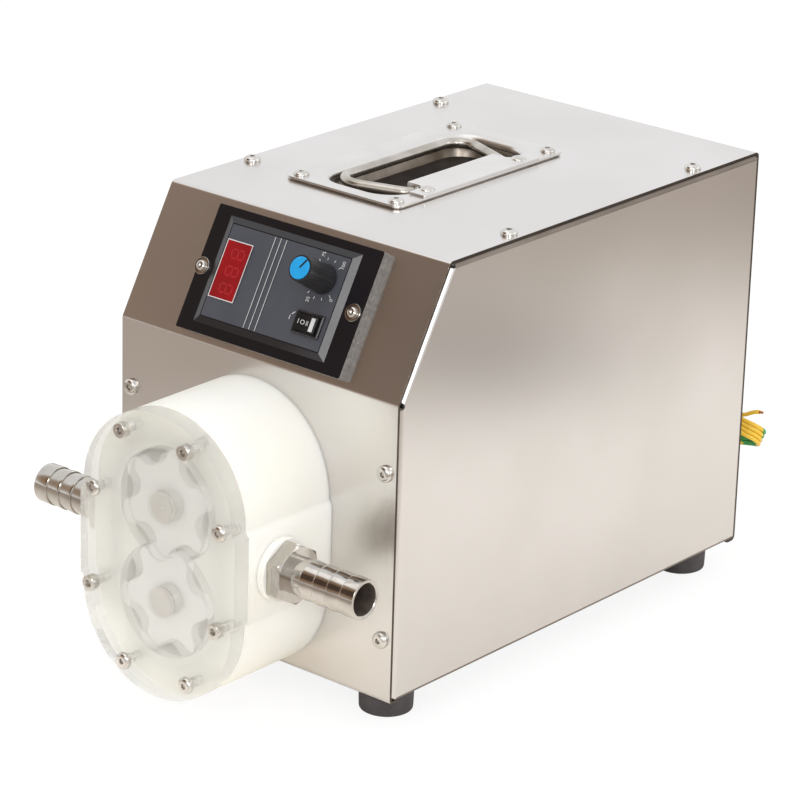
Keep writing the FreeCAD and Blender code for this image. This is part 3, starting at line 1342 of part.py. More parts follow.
def board_spacers():
    """Hexagon spacers under the power board, with the heads of their screws."""
    floor = WRAP_INSET + SHEET_T
    pieces = []
    for x, y in board_screw_places():
        spacer = hexagon(SPACER_AF, SPACER_H, (x, y, floor), AZ)
        stem = rod(BOARD_SCREW_R, SHEET_T + SPACER_H + BOARD_T, (x, y, WRAP_INSET), AZ)
        top_head = rod(BOARD_HEAD_R, 2.0, (x, y, board_level() + BOARD_T), AZ)
        low_head = rod(BOARD_HEAD_R, 1.6, (x, y, WRAP_INSET - 1.6), AZ)
        pieces.append(fuse([spacer, stem, top_head, low_head]))
    return group(pieces)


def power_board():
    """Circuit board of the supply, open over its fixing screws."""
    low = board_level()
    board = box(BOARD_X, BOARD_Y, (low, low + BOARD_T))
    return cut(board, [rod(BOARD_SCREW_R, BOARD_T, (x, y, low), AZ) for x, y in board_screw_places()])


def board_parts():
    """Mains transformer, capacitors and heat sink on the board."""
    top = board_level() + BOARD_T
    lx, ly, lz = CORE_BOX
    y0 = BOARD_Y[0] + PARTS_BACK
    core = box((CORE_X, CORE_X + lx), (y0, y0 + ly), (top, top + lz))
    cans = [rod(CAN_R, CAN_H, (x, y0 + CAN_R + 1.0, top), AZ) for x in CAN_X]
    sink_y = y0 + SINK_BACK
    sink = box(SINK_X, (sink_y, sink_y + SINK_T), (top, top + SINK_H))
    pitch = (SINK_X[1] - SINK_X[0] - FIN_T) / (FIN_COUNT - 1)
    fins = []
    for i in range(FIN_COUNT):
        x = SINK_X[0] + pitch * i
        fins.append(box((x, x + FIN_T), (sink_y, sink_y + FIN_LEN), (top, top + SINK_H)))
    return group([core] + cans + [fuse([sink] + fins)])


def mains_inlet():
    """Three pin mains inlet in the rear panel."""
    x, z = INLET_X, INLET_Z
    y0 = HOUSING_D
    flange = box((x - INLET_FLANGE_X, x + INLET_FLANGE_X), (y0, y0 + INLET_FLANGE_T),
                 (z - INLET_FLANGE_Z, z + INLET_FLANGE_Z))
    flange = flange.makeChamfer(3.0, [e for e in flange.Edges
                                      if abs(e.Vertexes[0].Y - e.Vertexes[-1].Y) > 1.0])
    body = box((x - INLET_HALF_X, x + INLET_HALF_X), (y0 - INLET_DEEP, y0),
               (z - INLET_HALF_Z, z + INLET_HALF_Z))
    sx, sz, deep = INLET_SOCKET
    well = box((x - sx, x + sx), (y0 + INLET_FLANGE_T - deep, y0 + 5), (z - sz, z + sz))
    holes = [rod(INLET_SCREW_R, 10.0, (x + s * INLET_SCREW_X, y0 - 2, z), AY) for s in (-1, 1)]
    shell = cut(fuse([flange, body]), [well] + holes)
    pins = []
    for dx, dz in ((-7.0, -2.0), (0.0, 2.0), (7.0, -2.0)):
        pins.append(box((x + dx - 1.0, x + dx + 1.0), (y0 + INLET_FLANGE_T - deep, y0 - INLET_PIN_BACK),
                        (z + dz - 2.0, z + dz + 2.0)))
    return fuse([shell] + pins)


def inlet_screws():
    """Two screws with nuts of the mains inlet."""
    pieces = []
    seat = HOUSING_D + INLET_FLANGE_T
    for side in (-1, 1):
        x = INLET_X + side * INLET_SCREW_X
        head = cone(2.8, 2.0, 1.8, (x, seat, INLET_Z), AY)
        shank = rod(INLET_SCREW_R, INLET_FLANGE_T + 6.0, (x, HOUSING_D - 6.0, INLET_Z), AY)
        nut = hexagon(5.5, 2.4, (x, HOUSING_D - SHEET_T - 2.4, INLET_Z), AY)
        slot = box((x - 3, x + 3), (seat + 1.0, seat + 3), (INLET_Z - 0.4, INLET_Z + 0.4))
        pieces.append(fuse([head, shank, nut]).cut(slot))
    return group(pieces)


def fuse_holder():
    """Screw cap fuse holder."""
    x, z = FUSE_X, FUSE_Z
    y0 = HOUSING_D
    cap = rod(FUSE_CAP_R, FUSE_CAP_H, (x, y0, z), AY)
    body = rod(FUSE_R, FUSE_DEEP, (x, y0 - FUSE_DEEP, z), AY)
    nut = hexagon(18.0, 3.0, (x, y0 - SHEET_T - 3.0, z), AY)
    slot = box((x - 6, x + 6), (y0 + FUSE_CAP_H - 1.2, y0 + FUSE_CAP_H + 1), (z - 0.8, z + 0.8))
    return fuse([cap, body, nut]).cut(slot)


def earth_stud():
    """Earth stud with an inner and an outer nut."""
    x, z = STUD_X, STUD_Z
    y0 = HOUSING_D
    stem = rod(STUD_R, STUD_OUT + SHEET_T + 6.0, (x, y0 - SHEET_T - 6.0, z), AY)
    outer = hexagon(STUD_NUT_AF, STUD_NUT_T, (x, y0 + LUG_T, z), AY)
    inner = hexagon(STUD_NUT_AF, STUD_NUT_T, (x, y0 - SHEET_T - STUD_NUT_T, z), AY)
    return fuse([stem, outer, inner])


def earth_lug():
    """Ring lug under the outer nut, its barrel pointing down."""
    x, z = STUD_X, STUD_Z
    y0 = HOUSING_D
    ring = rod(LUG_R, LUG_T, (x, y0, z), AY)
    tongue = box((x - 2.4, x + 2.4), (y0, y0 + LUG_T), (z - LUG_R - 4.0, z))
    barrel_y = y0 + LUG_BARREL_R
    barrel = rod(LUG_BARREL_R, LUG_BARREL_LEN, (x, barrel_y, z - LUG_R - 3.0 - LUG_BARREL_LEN), AZ)
    hole = rod(WIRE_R, LUG_BARREL_LEN, (x, barrel_y, z - LUG_R - 3.0 - LUG_BARREL_LEN), AZ)
    return cut(fuse([ring, tongue, barrel]), [hole, rod(STUD_R, 10.0, (x, y0 - 2, z), AY)])


def wire_points():
    """Routes of the two free stretches of the earth lead."""
    y0 = HOUSING_D
    barrel_y = y0 + LUG_BARREL_R
    top = STUD_Z - LUG_R - 3.0
    y_mid = y0 + COIL_Y + COIL_THICK / 2.0
    first = [(STUD_X, barrel_y, top), (STUD_X, barrel_y, top - 16.0),
             (STUD_X + 6.0, barrel_y + 8.8, COIL_Z[1]), (STUD_X + 22.0, y_mid, COIL_Z[1] - 5.0)]
    tail = [(COIL_X[1] - 30.0, y_mid, COIL_Z[1] - 3.0), (COIL_X[1] - 17.0, y_mid, COIL_Z[1] + 0.8),
            (COIL_X[1] - 7.0, y_mid, COIL_Z[1] + 6.5), (COIL_X[1] + 3.5, y_mid, COIL_Z[1] + 7.2)]
    return first, tail


def bend_radii(points):
    """Radius at each inner point: 0.45 of the shorter run over the tangent of half the turn."""
    radii = []
    for i in range(1, len(points) - 1):
        a = V(*points[i]) - V(*points[i - 1])
        b = V(*points[i + 1]) - V(*points[i])
        turn = a.getAngle(b)
        radii.append(0.45 * min(a.Length, b.Length) / math.tan(turn / 2.0))
    return radii


def earth_wire():
    """The two free stretches of the earth lead, to and from its coil."""
    pieces = []
    for points in wire_points():
        radii = bend_radii(points)
        print("wire bend radii", [round(r, 1) for r in radii])
        path = rounded_path(points, radii)
        solid = swept(path, WIRE_R)
        section = math.pi * WIRE_R ** 2
        print("wire length", round(path.Length, 1), "volume over section by length",
              round(solid.Volume / (section * path.Length), 4))
        pieces.append(solid)
    pieces.append(wire_tip())
    return group(pieces)


def earth_coil():
    """Outer shape of the bundled turns: an obround block across the rear panel."""
    x0, x1 = COIL_X
    z0, z1 = COIL_Z
    r = (z1 - z0) / 2.0
    block = rounded_plate((x0, x1), (z0, z1), r - 0.01, 0, COIL_THICK)
    rear = V(0, HOUSING_D + COIL_Y + COIL_THICK, 0)
    block.Placement = FreeCAD.Placement(rear, FreeCAD.Rotation(V(1, 0, 0), 90))
    return block


def coil_tie():
    """Cable tie round the bundle."""
    z0, z1 = COIL_Z
    y0 = HOUSING_D + COIL_Y
    x = (TIE_X - TIE_W / 2.0, TIE_X + TIE_W / 2.0)
    outer = box(x, (y0 - TIE_T, y0 + COIL_THICK + TIE_T), (z0 - TIE_T, z1 + TIE_T))
    lock = box((x[0] - 1, x[1] + 1), (y0 + COIL_THICK + TIE_T - 0.5, y0 + COIL_THICK + TIE_T + 3.0),
               (z1 - 7.0, z1 - 2.0))
    return fuse([outer, lock]).cut(box((x[0] - 2, x[1] + 2), (y0, y0 + COIL_THICK), (z0, z1)))


def wire_tip():
    """Bare core at the free end of the lead."""
    tail = wire_points()[1]
    a = V(*tail[-2])
    b = V(*tail[-1])
    along = (b - a).normalize()
    return Part.makeCylinder(TIP_R, TIP_LEN, b, along)


NODES = {
    "chassis": chassis,
    "wrap": wrap,
    "wrap_screws": wrap_screws,
    "feet": feet,
    "foot_screws": foot_screws,
    "handle_plate": handle_plate,
    "handle_strip": handle_strip,
    "handle_saddles": handle_saddles,
    "handle_rivets": handle_rivets,
    "handle_screws": handle_screws,
    "handle_bail": handle_bail,
    "panel_frame": panel_frame,
    "case_back": case_back,
    "panel_face": panel_face,
    "display_window": display_window,
    "panel_screws": panel_screws,
    "panel_washers": panel_washers,
    "potentiometer": potentiometer,
    "pot_shaft": pot_shaft,
    "speed_knob": speed_knob,
    "knob_cap": knob_cap,
    "switch_body": switch_body,
    "switch_rocker": switch_rocker,
    "pump_body": pump_body,
    "pump_cover": pump_cover,
    "cover_seal": cover_seal,
    "cover_cap_screws": lambda: cover_screws("cap"),
    "cover_button_screws": lambda: cover_screws("button"),
    "drive_gear": lambda: gear(DRIVE_Z, DRIVE_GEAR_TURN),
    "idle_gear": lambda: gear(IDLE_Z, IDLE_GEAR_TURN),
    "drive_key": lambda: key_bar(DRIVE_Z),
    "idle_key": lambda: key_bar(IDLE_Z),
    "drive_shaft": drive_shaft,
    "idle_shaft": idle_shaft,
    "bushings": bushings,
    "shaft_seal": shaft_seal,
    "port_washers": port_washers,
    "hose_tail_left": lambda: hose_tail(-1),
    "hose_tail_right": lambda: hose_tail(1),
    "mount_plate": mount_plate,
    "head_screws": head_screws,
    "pump_hub": lambda: coupling_hub(hub_places()[0], 1),
    "coupling_spider": coupling_spider,
    "motor_hub": lambda: coupling_hub(hub_places()[1], -1),
    "gearbox_shaft": gearbox_shaft,
    "motor_bracket": motor_bracket,
    "bracket_screws": bracket_screws,
    "gearbox": gearbox,
    "motor": motor,
    "board_spacers": board_spacers,
    "power_board": power_board,
    "board_parts": board_parts,
    "mains_inlet": mains_inlet,
    "inlet_screws": inlet_screws,
    "fuse_holder": fuse_holder,
    "earth_stud": earth_stud,
    "earth_lug": earth_lug,
    "earth_wire": earth_wire,
    "earth_coil": earth_coil,
    "coil_tie": coil_tie,
}


def export_all():
    """Write every node as a STEP file in the object's own frame."""
    os.makedirs("parts", exist_ok=True)
    for name, maker in NODES.items():
        shape = maker()
        shape = shape.copy()
        shape.translate(SHIFT)
        if not shape.isValid():
            print("not valid:", name)
        print(name, "solids", len(shape.Solids), "volume cm3", round(shape.Volume / 1000.0, 2))
        shape.exportStep("parts/" + name + ".step")


export_all()
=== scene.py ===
import logging
import math
from dataclasses import dataclass, replace
from enum import Enum
from functools import partial
from typing import Callable

import bmesh
import bpy
import numpy as np
from mathutils import Matrix, Vector


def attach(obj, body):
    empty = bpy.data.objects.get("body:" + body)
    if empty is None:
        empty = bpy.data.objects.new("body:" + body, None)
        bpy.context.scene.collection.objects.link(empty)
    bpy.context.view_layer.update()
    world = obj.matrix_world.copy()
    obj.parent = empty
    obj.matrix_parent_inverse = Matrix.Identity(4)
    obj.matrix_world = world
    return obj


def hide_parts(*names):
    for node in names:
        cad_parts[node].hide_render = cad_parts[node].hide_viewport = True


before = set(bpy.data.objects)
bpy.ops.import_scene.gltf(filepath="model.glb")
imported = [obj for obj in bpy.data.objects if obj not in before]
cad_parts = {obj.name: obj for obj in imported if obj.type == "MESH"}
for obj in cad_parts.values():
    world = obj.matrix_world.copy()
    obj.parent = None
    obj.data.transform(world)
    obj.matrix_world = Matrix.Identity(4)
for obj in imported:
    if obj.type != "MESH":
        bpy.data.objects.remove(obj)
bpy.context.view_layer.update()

LOG = logging.getLogger("gear_pump")
Pair = tuple[float, float]
Triple = tuple[float, float, float]

# Housing frame: millimetres, X to the right, Y rearward from the front sheet, Z up from the base sheet
FRONT_SHEET_Y = 121.15
SOLE_DEPTH = 15.5
HOUSING_D = 313.0
HOUSING_H = 238.5
FRONT_H = 169.4
SLOPE_BACK = 39.0
SLOPE_ANGLE = math.atan2(HOUSING_H - FRONT_H, SLOPE_BACK)
ROOT_BODY = "drive_box"
M5_R = 2.5
# A point this near a face, in metres, lies on it
ON_FACE = 2e-5
# Noise values between which a finish goes from its first colour to its second, and from bare to a full speck
TONE_FROM, TONE_TO = 0.35, 0.65
SPECK_FROM, SPECK_TO = 0.62, 0.72
# Scale of a wave that has one stripe and its partner in a length of 1
ONE_STRIPE = 0.314
# Edges sharper than this many degrees stay sharp on a copy of a CAD node
COPY_CREASE = 30.0


def to_metres(points: np.ndarray) -> np.ndarray:
    """Housing millimetres to the frame's metres, moved by the frame's shift.

    Args:
        points: array (..., 3) in the housing frame.

    Returns:
        The same points in metres.
    """
    return (np.asarray(points, float) + (0.0, -FRONT_SHEET_Y, SOLE_DEPTH)) / 1000.0


def srgb(hex_colour: str) -> tuple[float, float, float, float]:
    """Linear red, green, blue and alpha of a screen colour written as #rrggbb."""
    values = [int(hex_colour[i:i + 2], 16) / 255.0 for i in (1, 3, 5)]
    linear = [v / 12.92 if v <= 0.04045 else ((v + 0.055) / 1.055) ** 2.4 for v in values]
    return (*linear, 1.0)


def node(tree: bpy.types.NodeTree, kind: str, inputs: dict | None = None,
         **settings: object) -> bpy.types.Node:
    """Adds one shader node.

    Args:
        tree: the node tree.
        kind: the node's type name after ShaderNode.
        inputs: input name or number to its own value, to a socket that feeds it, or to
            a node whose first working output does.
        **settings: the node's settings.

    Returns:
        The new node.
    """
    made = tree.nodes.new("ShaderNode" + kind)
    for name, value in settings.items():
        setattr(made, name, value)
    for name, value in (inputs or {}).items():
        if isinstance(value, bpy.types.Node):
            value = next(socket for socket in value.outputs if socket.enabled)
        if isinstance(value, bpy.types.NodeSocket):
            tree.links.new(value, made.inputs[name])
        else:
            made.inputs[name].default_value = value
    return made


def ramp(tree: bpy.types.NodeTree, value: bpy.types.Node | bpy.types.NodeSocket,
         *stops: tuple[float, tuple[float, float, float, float]]) -> bpy.types.Node:
    """A colour ramp over a value; each stop is its place and its linear colour."""
    made = node(tree, "ValToRGB", {"Fac": value})
    for _ in stops[2:]:
        made.color_ramp.elements.new(0.5)
    for element, (place, colour) in zip(made.color_ramp.elements, stops):
        element.position = place
        element.color = colour
    return made


def blend(tree: bpy.types.NodeTree, share: bpy.types.Node, first: object, second: object) -> bpy.types.Node:
    """Mixes two colours: the first where the share is 0, the second where it is 1."""
    return node(tree, "Mix", {"Factor": share, 6: first, 7: second}, data_type="RGBA")


def emptied(owner: bpy.types.Material | bpy.types.World) -> bpy.types.NodeTree:
    """The node tree of a material or a world, emptied."""
    owner.use_nodes = True
    owner.node_tree.nodes.clear()
    return owner.node_tree


def shaded(name: str, shade: Callable[[bpy.types.NodeTree], bpy.types.Node]) -> bpy.types.Material:
    """A material, made once and found again by its name.

    Args:
        name: the material's name.
        shade: adds the nodes to an empty tree and gives the one that shades the surface.

    Returns:
        The material.
    """
    known = bpy.data.materials.get(name)
    if known is not None:
        return known
    made = bpy.data.materials.new(name)
    tree = emptied(made)
    node(tree, "OutputMaterial", {"Surface": shade(tree)})
    return made


class Grain(Enum):
    """How a finish's fine pattern runs: its wavelength's share of the plain one along each axis."""

    EVEN = (1.0, 1.0, 1.0)
    ALONG_X = (0.02, 1.0, 1.0)
    ALONG_Y = (1.0, 0.02, 1.0)


@dataclass(frozen=True)
class Finish:
    """One real surface finish, as a procedural material.

    Colour drifts between two shades over patches of a real size, roughness drifts with
    it, and a fine grain gives the bump. Specks are spots of a third colour, a grain wide.
    """

    name: str
    colour: str
    second: str
    roughness: float
    patch_mm: float = 30.0
    grain_mm: float = 0.6
    grain_height_mm: float = 0.004
    metallic: float = 0.0
    grain: Grain = Grain.EVEN
    drift: float = 0.05
    specks: float = 0.0
    speck_colour: str = "#ffffff"
    subsurface: float = 0.0
    subsurface_mm: float = 4.0
    subsurface_reach: Triple = (1.0, 0.97, 0.9)
    transmission: float = 0.0
    ior: float = 1.5
    coat: float = 0.0
    coat_roughness: float = 0.1
    alpha: float = 1.0

    def shade(self, tree: bpy.types.NodeTree) -> bpy.types.Node:
        """The finish's nodes; a noise's scale is its wavelengths in a metre of object space."""
        place = node(tree, "TexCoord").outputs["Object"]
        grains = 1000.0 / self.grain_mm
        patches = node(tree, "TexNoise", {"Vector": place, "Scale": 1000.0 / self.patch_mm, "Detail": 4.0})
        colour = ramp(tree, patches, (TONE_FROM, srgb(self.colour)), (TONE_TO, srgb(self.second)))
        if self.specks > 0.0:
            speck = node(tree, "TexNoise", {"Vector": place, "Scale": grains, "Detail": 2.0})
            lit = node(tree, "MapRange", {"Value": speck, "From Min": SPECK_FROM, "From Max": SPECK_TO,
                                          "To Max": self.specks})
            colour = blend(tree, lit, colour, srgb(self.speck_colour))
        rough = node(tree, "MapRange", {"Value": patches, "To Min": max(0.0, self.roughness - self.drift),
                                        "To Max": self.roughness + self.drift})
        stretch = node(tree, "Mapping", {"Vector": place, "Scale": self.grain.value})
        fine = node(tree, "TexNoise", {"Vector": stretch, "Scale": grains, "Detail": 3.0})
        bump = node(tree, "Bump", {"Height": fine, "Strength": 1.0,
                                   "Distance": self.grain_height_mm / 1000.0})
        return node(tree, "BsdfPrincipled", {
            "Base Color": colour, "Roughness": rough, "Normal": bump, "Metallic": self.metallic,
            "Subsurface Weight": self.subsurface, "Subsurface Scale": self.subsurface_mm / 1000.0,
            "Subsurface Radius": self.subsurface_reach, "Transmission Weight": self.transmission,
            "IOR": self.ior, "Coat Weight": self.coat, "Coat Roughness": self.coat_roughness,
            "Alpha": self.alpha})

    def build(self) -> bpy.types.Material:
        """The material."""
        return shaded(self.name, self.shade)


metal = partial(Finish, metallic=1.0)

# After each name: two colours, the roughness, and in millimetres the patches, the grain and its height.
# Cold-rolled stainless sheet, ground satin: wide soft reflections with hardly a grain line
SHEET_STEEL = metal("satin_stainless_sheet", "#e0dddb", "#dad7d4", 0.24, 90.0, 0.5, 0.0015, drift=0.03)
# Outside of that sheet's folds behind the slope: darkened as a painted dark reflection
FOLD_PAINTED_DARK_REFLECTION = metal("fold_painted_dark_reflection", "#8d837a", "#7d736a", 0.36, 40.0)
# Sheared ends of the same sheet: rough from the cut, and darkened as painted shade
CUT_END_PAINTED_SHADE = metal("cut_end_painted_shade", "#5d554f", "#4a433e", 0.4, 30.0, 0.5, 0.008)
# Pressed stainless plate, tumbled: brighter and a little softer than the sheet
PLATE_STAINLESS = metal("pressed_stainless_plate", "#e4e2e0", "#dcdad7", 0.3, 40.0, 0.4, 0.001, drift=0.03)
# The same plate inside its deep-drawn cup and on the sides of its foot: darkened grey-brown as painted shade
# in the cup and a painted shadow under the plate's edge
CUP_AND_GAP_PAINTED_SHADE = metal("cup_and_gap_painted_shade_steel", "#aaa095", "#8f857a", 0.34, 12.0)
# Floor of the cup: darker still, a painted shade
CUP_FLOOR_PAINTED_SHADE = metal("cup_floor_painted_shade_steel", "#4d4540", "#3d3632", 0.38, 14.0, 0.7, 0.006)
# Drawn stainless wire, brushed round: a blurred highlight along the rod
BRUSHED_ROD = metal("brushed_stainless_rod", "#cbc6bf", "#b3ada4", 0.26, 15.0, 0.5, 0.003,
                    grain=Grain.ALONG_Y)
# Cold-headed stainless screws: bright flats with small dark sockets
SCREW_STEEL = metal("headed_stainless_screw", "#dcd9d4", "#cac6c0", 0.14, 4.0, 0.3, 0.002)
# Turned and polished stainless: sharp dark and bright bands
FITTING_STEEL = metal("polished_stainless_fitting", "#cdc9c3", "#bcb7b0", 0.1, 12.0, 0.5, 0.0015)
# Reamed bore of the hose tails: dull, with tool marks, and darkened as painted shade inside the bore
TAIL_BORE_PAINTED_SHADE = Finish("tail_bore_painted_shade_steel", "#7d726a", "#675d56", 0.5, 5.0, 0.6, 0.02, metallic=0.6)
# Ground shaft steel: grey, even, seen through the cover
SHAFT_STEEL = metal("ground_shaft_steel", "#dad5cf", "#cdc7c0", 0.34, 8.0, 0.4, 0.003)
# Blackened steel plate: dark with a dull sheen
DARK_STEEL = metal("blackened_steel_plate", "#4b4c4e", "#3d3e40", 0.42, 22.0, 0.7)
# Die-cast aluminium: grainy light grey
CAST_ALUMINIUM = metal("die_cast_aluminium", "#b4b4b2", "#9d9d9b", 0.45, 16.0, 1.1, 0.03, drift=0.08)
# Turned aluminium: light, with fine tool marks
TURNED_ALUMINIUM = metal("turned_aluminium", "#cfcfce", "#bdbdbb", 0.28, 7.0, 0.35)
# Zinc-plated steel: greyish with cloudy crystals
ZINC_STEEL = metal("zinc_plated_steel", "#bcbdb6", "#a3a69f", 0.33, 9.0, 2.0)
# Tinned brass: pale gold
TIN_BRASS = metal("tinned_brass", "#d3b878", "#bfa05e", 0.28, 4.0, 0.4)
# Bare copper strands: warm, with lines along the wire
COPPER_STRAND = metal("bare_copper_strand", "#c98b5c", "#a8683c", 0.3, 1.5, 0.3, 0.05, grain=Grain.ALONG_X)
# Natural polypropylene block, milled: warm white that light enters a little way
PUMP_WHITE = Finish("milled_natural_polypropylene", "#fcfbf2", "#faf8ed", 0.42, 45.0, 0.9, 0.006,
                    subsurface=0.7, subsurface_mm=6.0)
# White acetal gears: smooth, slightly translucent
GEAR_WHITE = Finish("white_acetal", "#fefefa", "#fbfaf5", 0.35, 20.0, 0.7, subsurface=0.9, subsurface_mm=10.0)
# Cast acrylic sheet with sawn edges: clear, with a milky haze of fine scratches in both faces
CLEAR_COVER = Finish("cast_acrylic_sheet", "#fefefb", "#fdfdf8", 0.07, 60.0, 4.0, 0.001, drift=0.02,
                     transmission=0.72, ior=1.49, alpha=0.5)
# White nylon washer: matt white
WHITE_WASHER = Finish("white_nylon", "#f8f7f3", "#f0efe9", 0.4, 8.0, 0.5, subsurface=0.3, subsurface_mm=2.0)
# Translucent silicone cord in the groove under the cover: nearly the body's own white
SEAL_SILICONE = Finish("translucent_silicone", "#f8f7f0", "#f3f1e8", 0.4, 8.0, 0.5, subsurface=0.5,
                       subsurface_mm=3.0)
# Filled bearing plastic: tan
BUSH_PLASTIC = Finish("filled_bearing_plastic", "#c9b998", "#b9a884", 0.4, 6.0, 0.5)
# Nitrile rubber lip seal: matt black
SEAL_RUBBER = Finish("nitrile_rubber", "#2a2a2b", "#1f1f20", 0.6, 5.0, 0.4, 0.01)
# Moulded rubber feet: dark grey, dusty
FOOT_RUBBER = Finish("moulded_foot_rubber", "#4a4648", "#3d3a3c", 0.62, 9.0, 0.6, 0.02, drift=0.06)
# Moulded black ABS of the controller's frame: near black with a soft gloss
FRAME_PLASTIC = Finish("moulded_black_abs", "#17151a", "#131115", 0.2, 30.0, 0.45, 0.008)
# Sawn edge of the same plastic: greyed and mottled by the cut
SAWN_EDGE = Finish("sawn_abs_edge", "#85817c", "#5f5b58", 0.42, 2.5, 0.8, 0.03, specks=0.8,
                   speck_colour="#bab6b1")
# Back of the controller's case: coarser black
CASE_PLASTIC = Finish("textured_black_abs", "#2c2b2d", "#242325", 0.45, 24.0, 0.5, 0.012)
# Polyester face film, printed slate on its back: fine matt
FACE_FILM = Finish("slate_polyester_film", "#4a4d55", "#44474f", 0.34, 18.0, 0.35, specks=0.06,
                   speck_colour="#5d6069")
# Tinted acrylic window: deep red with a gloss
DISPLAY_RED = Finish("tinted_red_acrylic", "#980a15", "#850811", 0.2, 16.0, 1.0, 0.001, coat=0.06,
                     coat_roughness=0.08)
# Moulded knob: matt black
KNOB_BLACK = Finish("moulded_black_knob", "#262528", "#1e1d1f", 0.42, 5.0, 0.3, 0.006)
# Snap-in cap: bright sky blue
CAP_BLUE = Finish("sky_blue_abs", "#0d9ddd", "#0896d6", 0.32, 4.0, 0.3, 0.003)
# Nylon switch: black, glossier than the case
SWITCH_BLACK = Finish("black_nylon_switch", "#1d1c1e", "#161517", 0.26, 6.0, 0.3, 0.003)
# Screen-printing ink
INK_WHITE = Finish("white_printing_ink", "#d3d4d4", "#c8c9ca", 0.5, 4.0, 0.2)
# Unlit segments behind the red window
DIM_SEGMENT = Finish("unlit_red_segment", "#a4161f", "#9c131c", 0.3, 4.0, 0.4)
# Polyurethane spider of the coupling
SPIDER_RED = Finish("red_polyurethane", "#b8352c", "#a42a22", 0.45, 5.0, 0.4, subsurface=0.1)
# Baked enamel on the motor: dark grey
MOTOR_PAINT = Finish("grey_baked_enamel", "#4d5154", "#44484b", 0.4, 16.0, 0.8, 0.015, coat=0.2)
# Green solder mask with tinned pads
BOARD_GREEN = Finish("green_solder_mask", "#1e6b45", "#175a39", 0.3, 8.0, 1.4, 0.02, specks=0.6,
                     speck_colour="#b9b48f")
# Moulded component cases
BOARD_DARK = Finish("dark_component_case", "#26282c", "#1c1e22", 0.4, 6.0)
# Moulded nylon of the mains inlet and fuse holder
INLET_BLACK = Finish("moulded_black_nylon", "#232325", "#1b1b1d", 0.35, 10.0, 0.4, 0.01)
# Nylon cable tie
TIE_WHITE = Finish("white_nylon_tie", "#efeee9", "#e4e3dd", 0.4, 3.0, 0.3, subsurface=0.2)

# Finishes of the CAD nodes that stay as they are
STAYING_NODES: dict[Finish, tuple[str, ...]] = {
    SCREW_STEEL: ("foot_screws", "head_screws", "bracket_screws", "inlet_screws"),
    PLATE_STAINLESS: ("handle_saddles",), BRUSHED_ROD: ("handle_bail",),
    CASE_PLASTIC: ("case_back",), FACE_FILM: ("panel_face",), DISPLAY_RED: ("display_window",),
    TURNED_ALUMINIUM: ("pot_shaft", "pump_hub", "motor_hub"),
    GEAR_WHITE: ("drive_gear", "idle_gear"),
    SHAFT_STEEL: ("drive_key", "idle_key", "drive_shaft", "idle_shaft", "gearbox_shaft"),
    SEAL_SILICONE: ("cover_seal",), BUSH_PLASTIC: ("bushings",), SEAL_RUBBER: ("shaft_seal",),
    SPIDER_RED: ("coupling_spider",), DARK_STEEL: ("mount_plate",),
    ZINC_STEEL: ("motor_bracket", "board_spacers", "potentiometer"),
    CAST_ALUMINIUM: ("gearbox",), MOTOR_PAINT: ("motor",),
    BOARD_GREEN: ("power_board",), BOARD_DARK: ("board_parts",),
    INLET_BLACK: ("mains_inlet", "fuse_holder"),
    TIN_BRASS: ("earth_stud", "earth_lug"), TIE_WHITE: ("coil_tie",),
}


@dataclass(frozen=True)
class EarthJacket:
    """PVC jacket of an earth lead: green and yellow in long stripes, with a soft gloss."""

    name: str = "green_yellow_pvc_jacket"
    green: str = "#3f9f55"
    yellow: str = "#f0c63e"
    stripe_mm: float = 24.5
    waver: float = 0.5
    phase: float = -0.35
    tones: Pair = (0.42, 0.5)
    roughness: float = 0.38
    grains_a_metre: float = 1500.0
    grain_height_mm: float = 0.02

    def shade(self, tree: bpy.types.NodeTree) -> bpy.types.Node:
        """The jacket's nodes: a wave along the lead turned into two colours, and a fine bump."""
        place = node(tree, "TexCoord").outputs["Object"]
        wave = node(tree, "TexWave", {"Vector": place, "Scale": 1000.0 * ONE_STRIPE / self.stripe_mm,
                                      "Distortion": self.waver, "Detail": 1.0, "Phase Offset": self.phase},
                    bands_direction="Y")
        colour = ramp(tree, wave.outputs["Fac"], (self.tones[0], srgb(self.green)),
                      (self.tones[1], srgb(self.yellow)))
        fine = node(tree, "TexNoise", {"Vector": place, "Scale": self.grains_a_metre})
        bump = node(tree, "Bump", {"Height": fine, "Distance": self.grain_height_mm / 1000.0})
        return node(tree, "BsdfPrincipled", {"Base Color": colour, "Normal": bump,
                                              "Roughness": self.roughness})

    def build(self) -> bpy.types.Material:
        """The material."""
        return shaded(self.name, self.shade)


@dataclass(frozen=True)
class Seat:
    """A flat place that pieces stand on: its zero point, two directions along it and the way out."""

    origin: Triple
    across: Triple
    along: Triple
    out: Triple

    def directions(self) -> np.ndarray:
        """Its three directions as the rows of an array."""
        return np.array([self.across, self.along, self.out])

    def place(self, local: np.ndarray) -> np.ndarray:
        """Local (across, along, out) millimetres, array (..., 3), to housing millimetres."""
        return np.asarray(local, float) @ self.directions() + np.array(self.origin)

    def measure(self, points: np.ndarray) -> np.ndarray:
        """The frame's metres, array (points, 3), to local millimetres."""
        return self.turn((points - to_metres(np.array(self.origin))) * 1000.0)

    def turn(self, ways: np.ndarray) -> np.ndarray:
        """Ways, array (ways, 3), as their parts across, along and out."""
        return ways @ self.directions().T


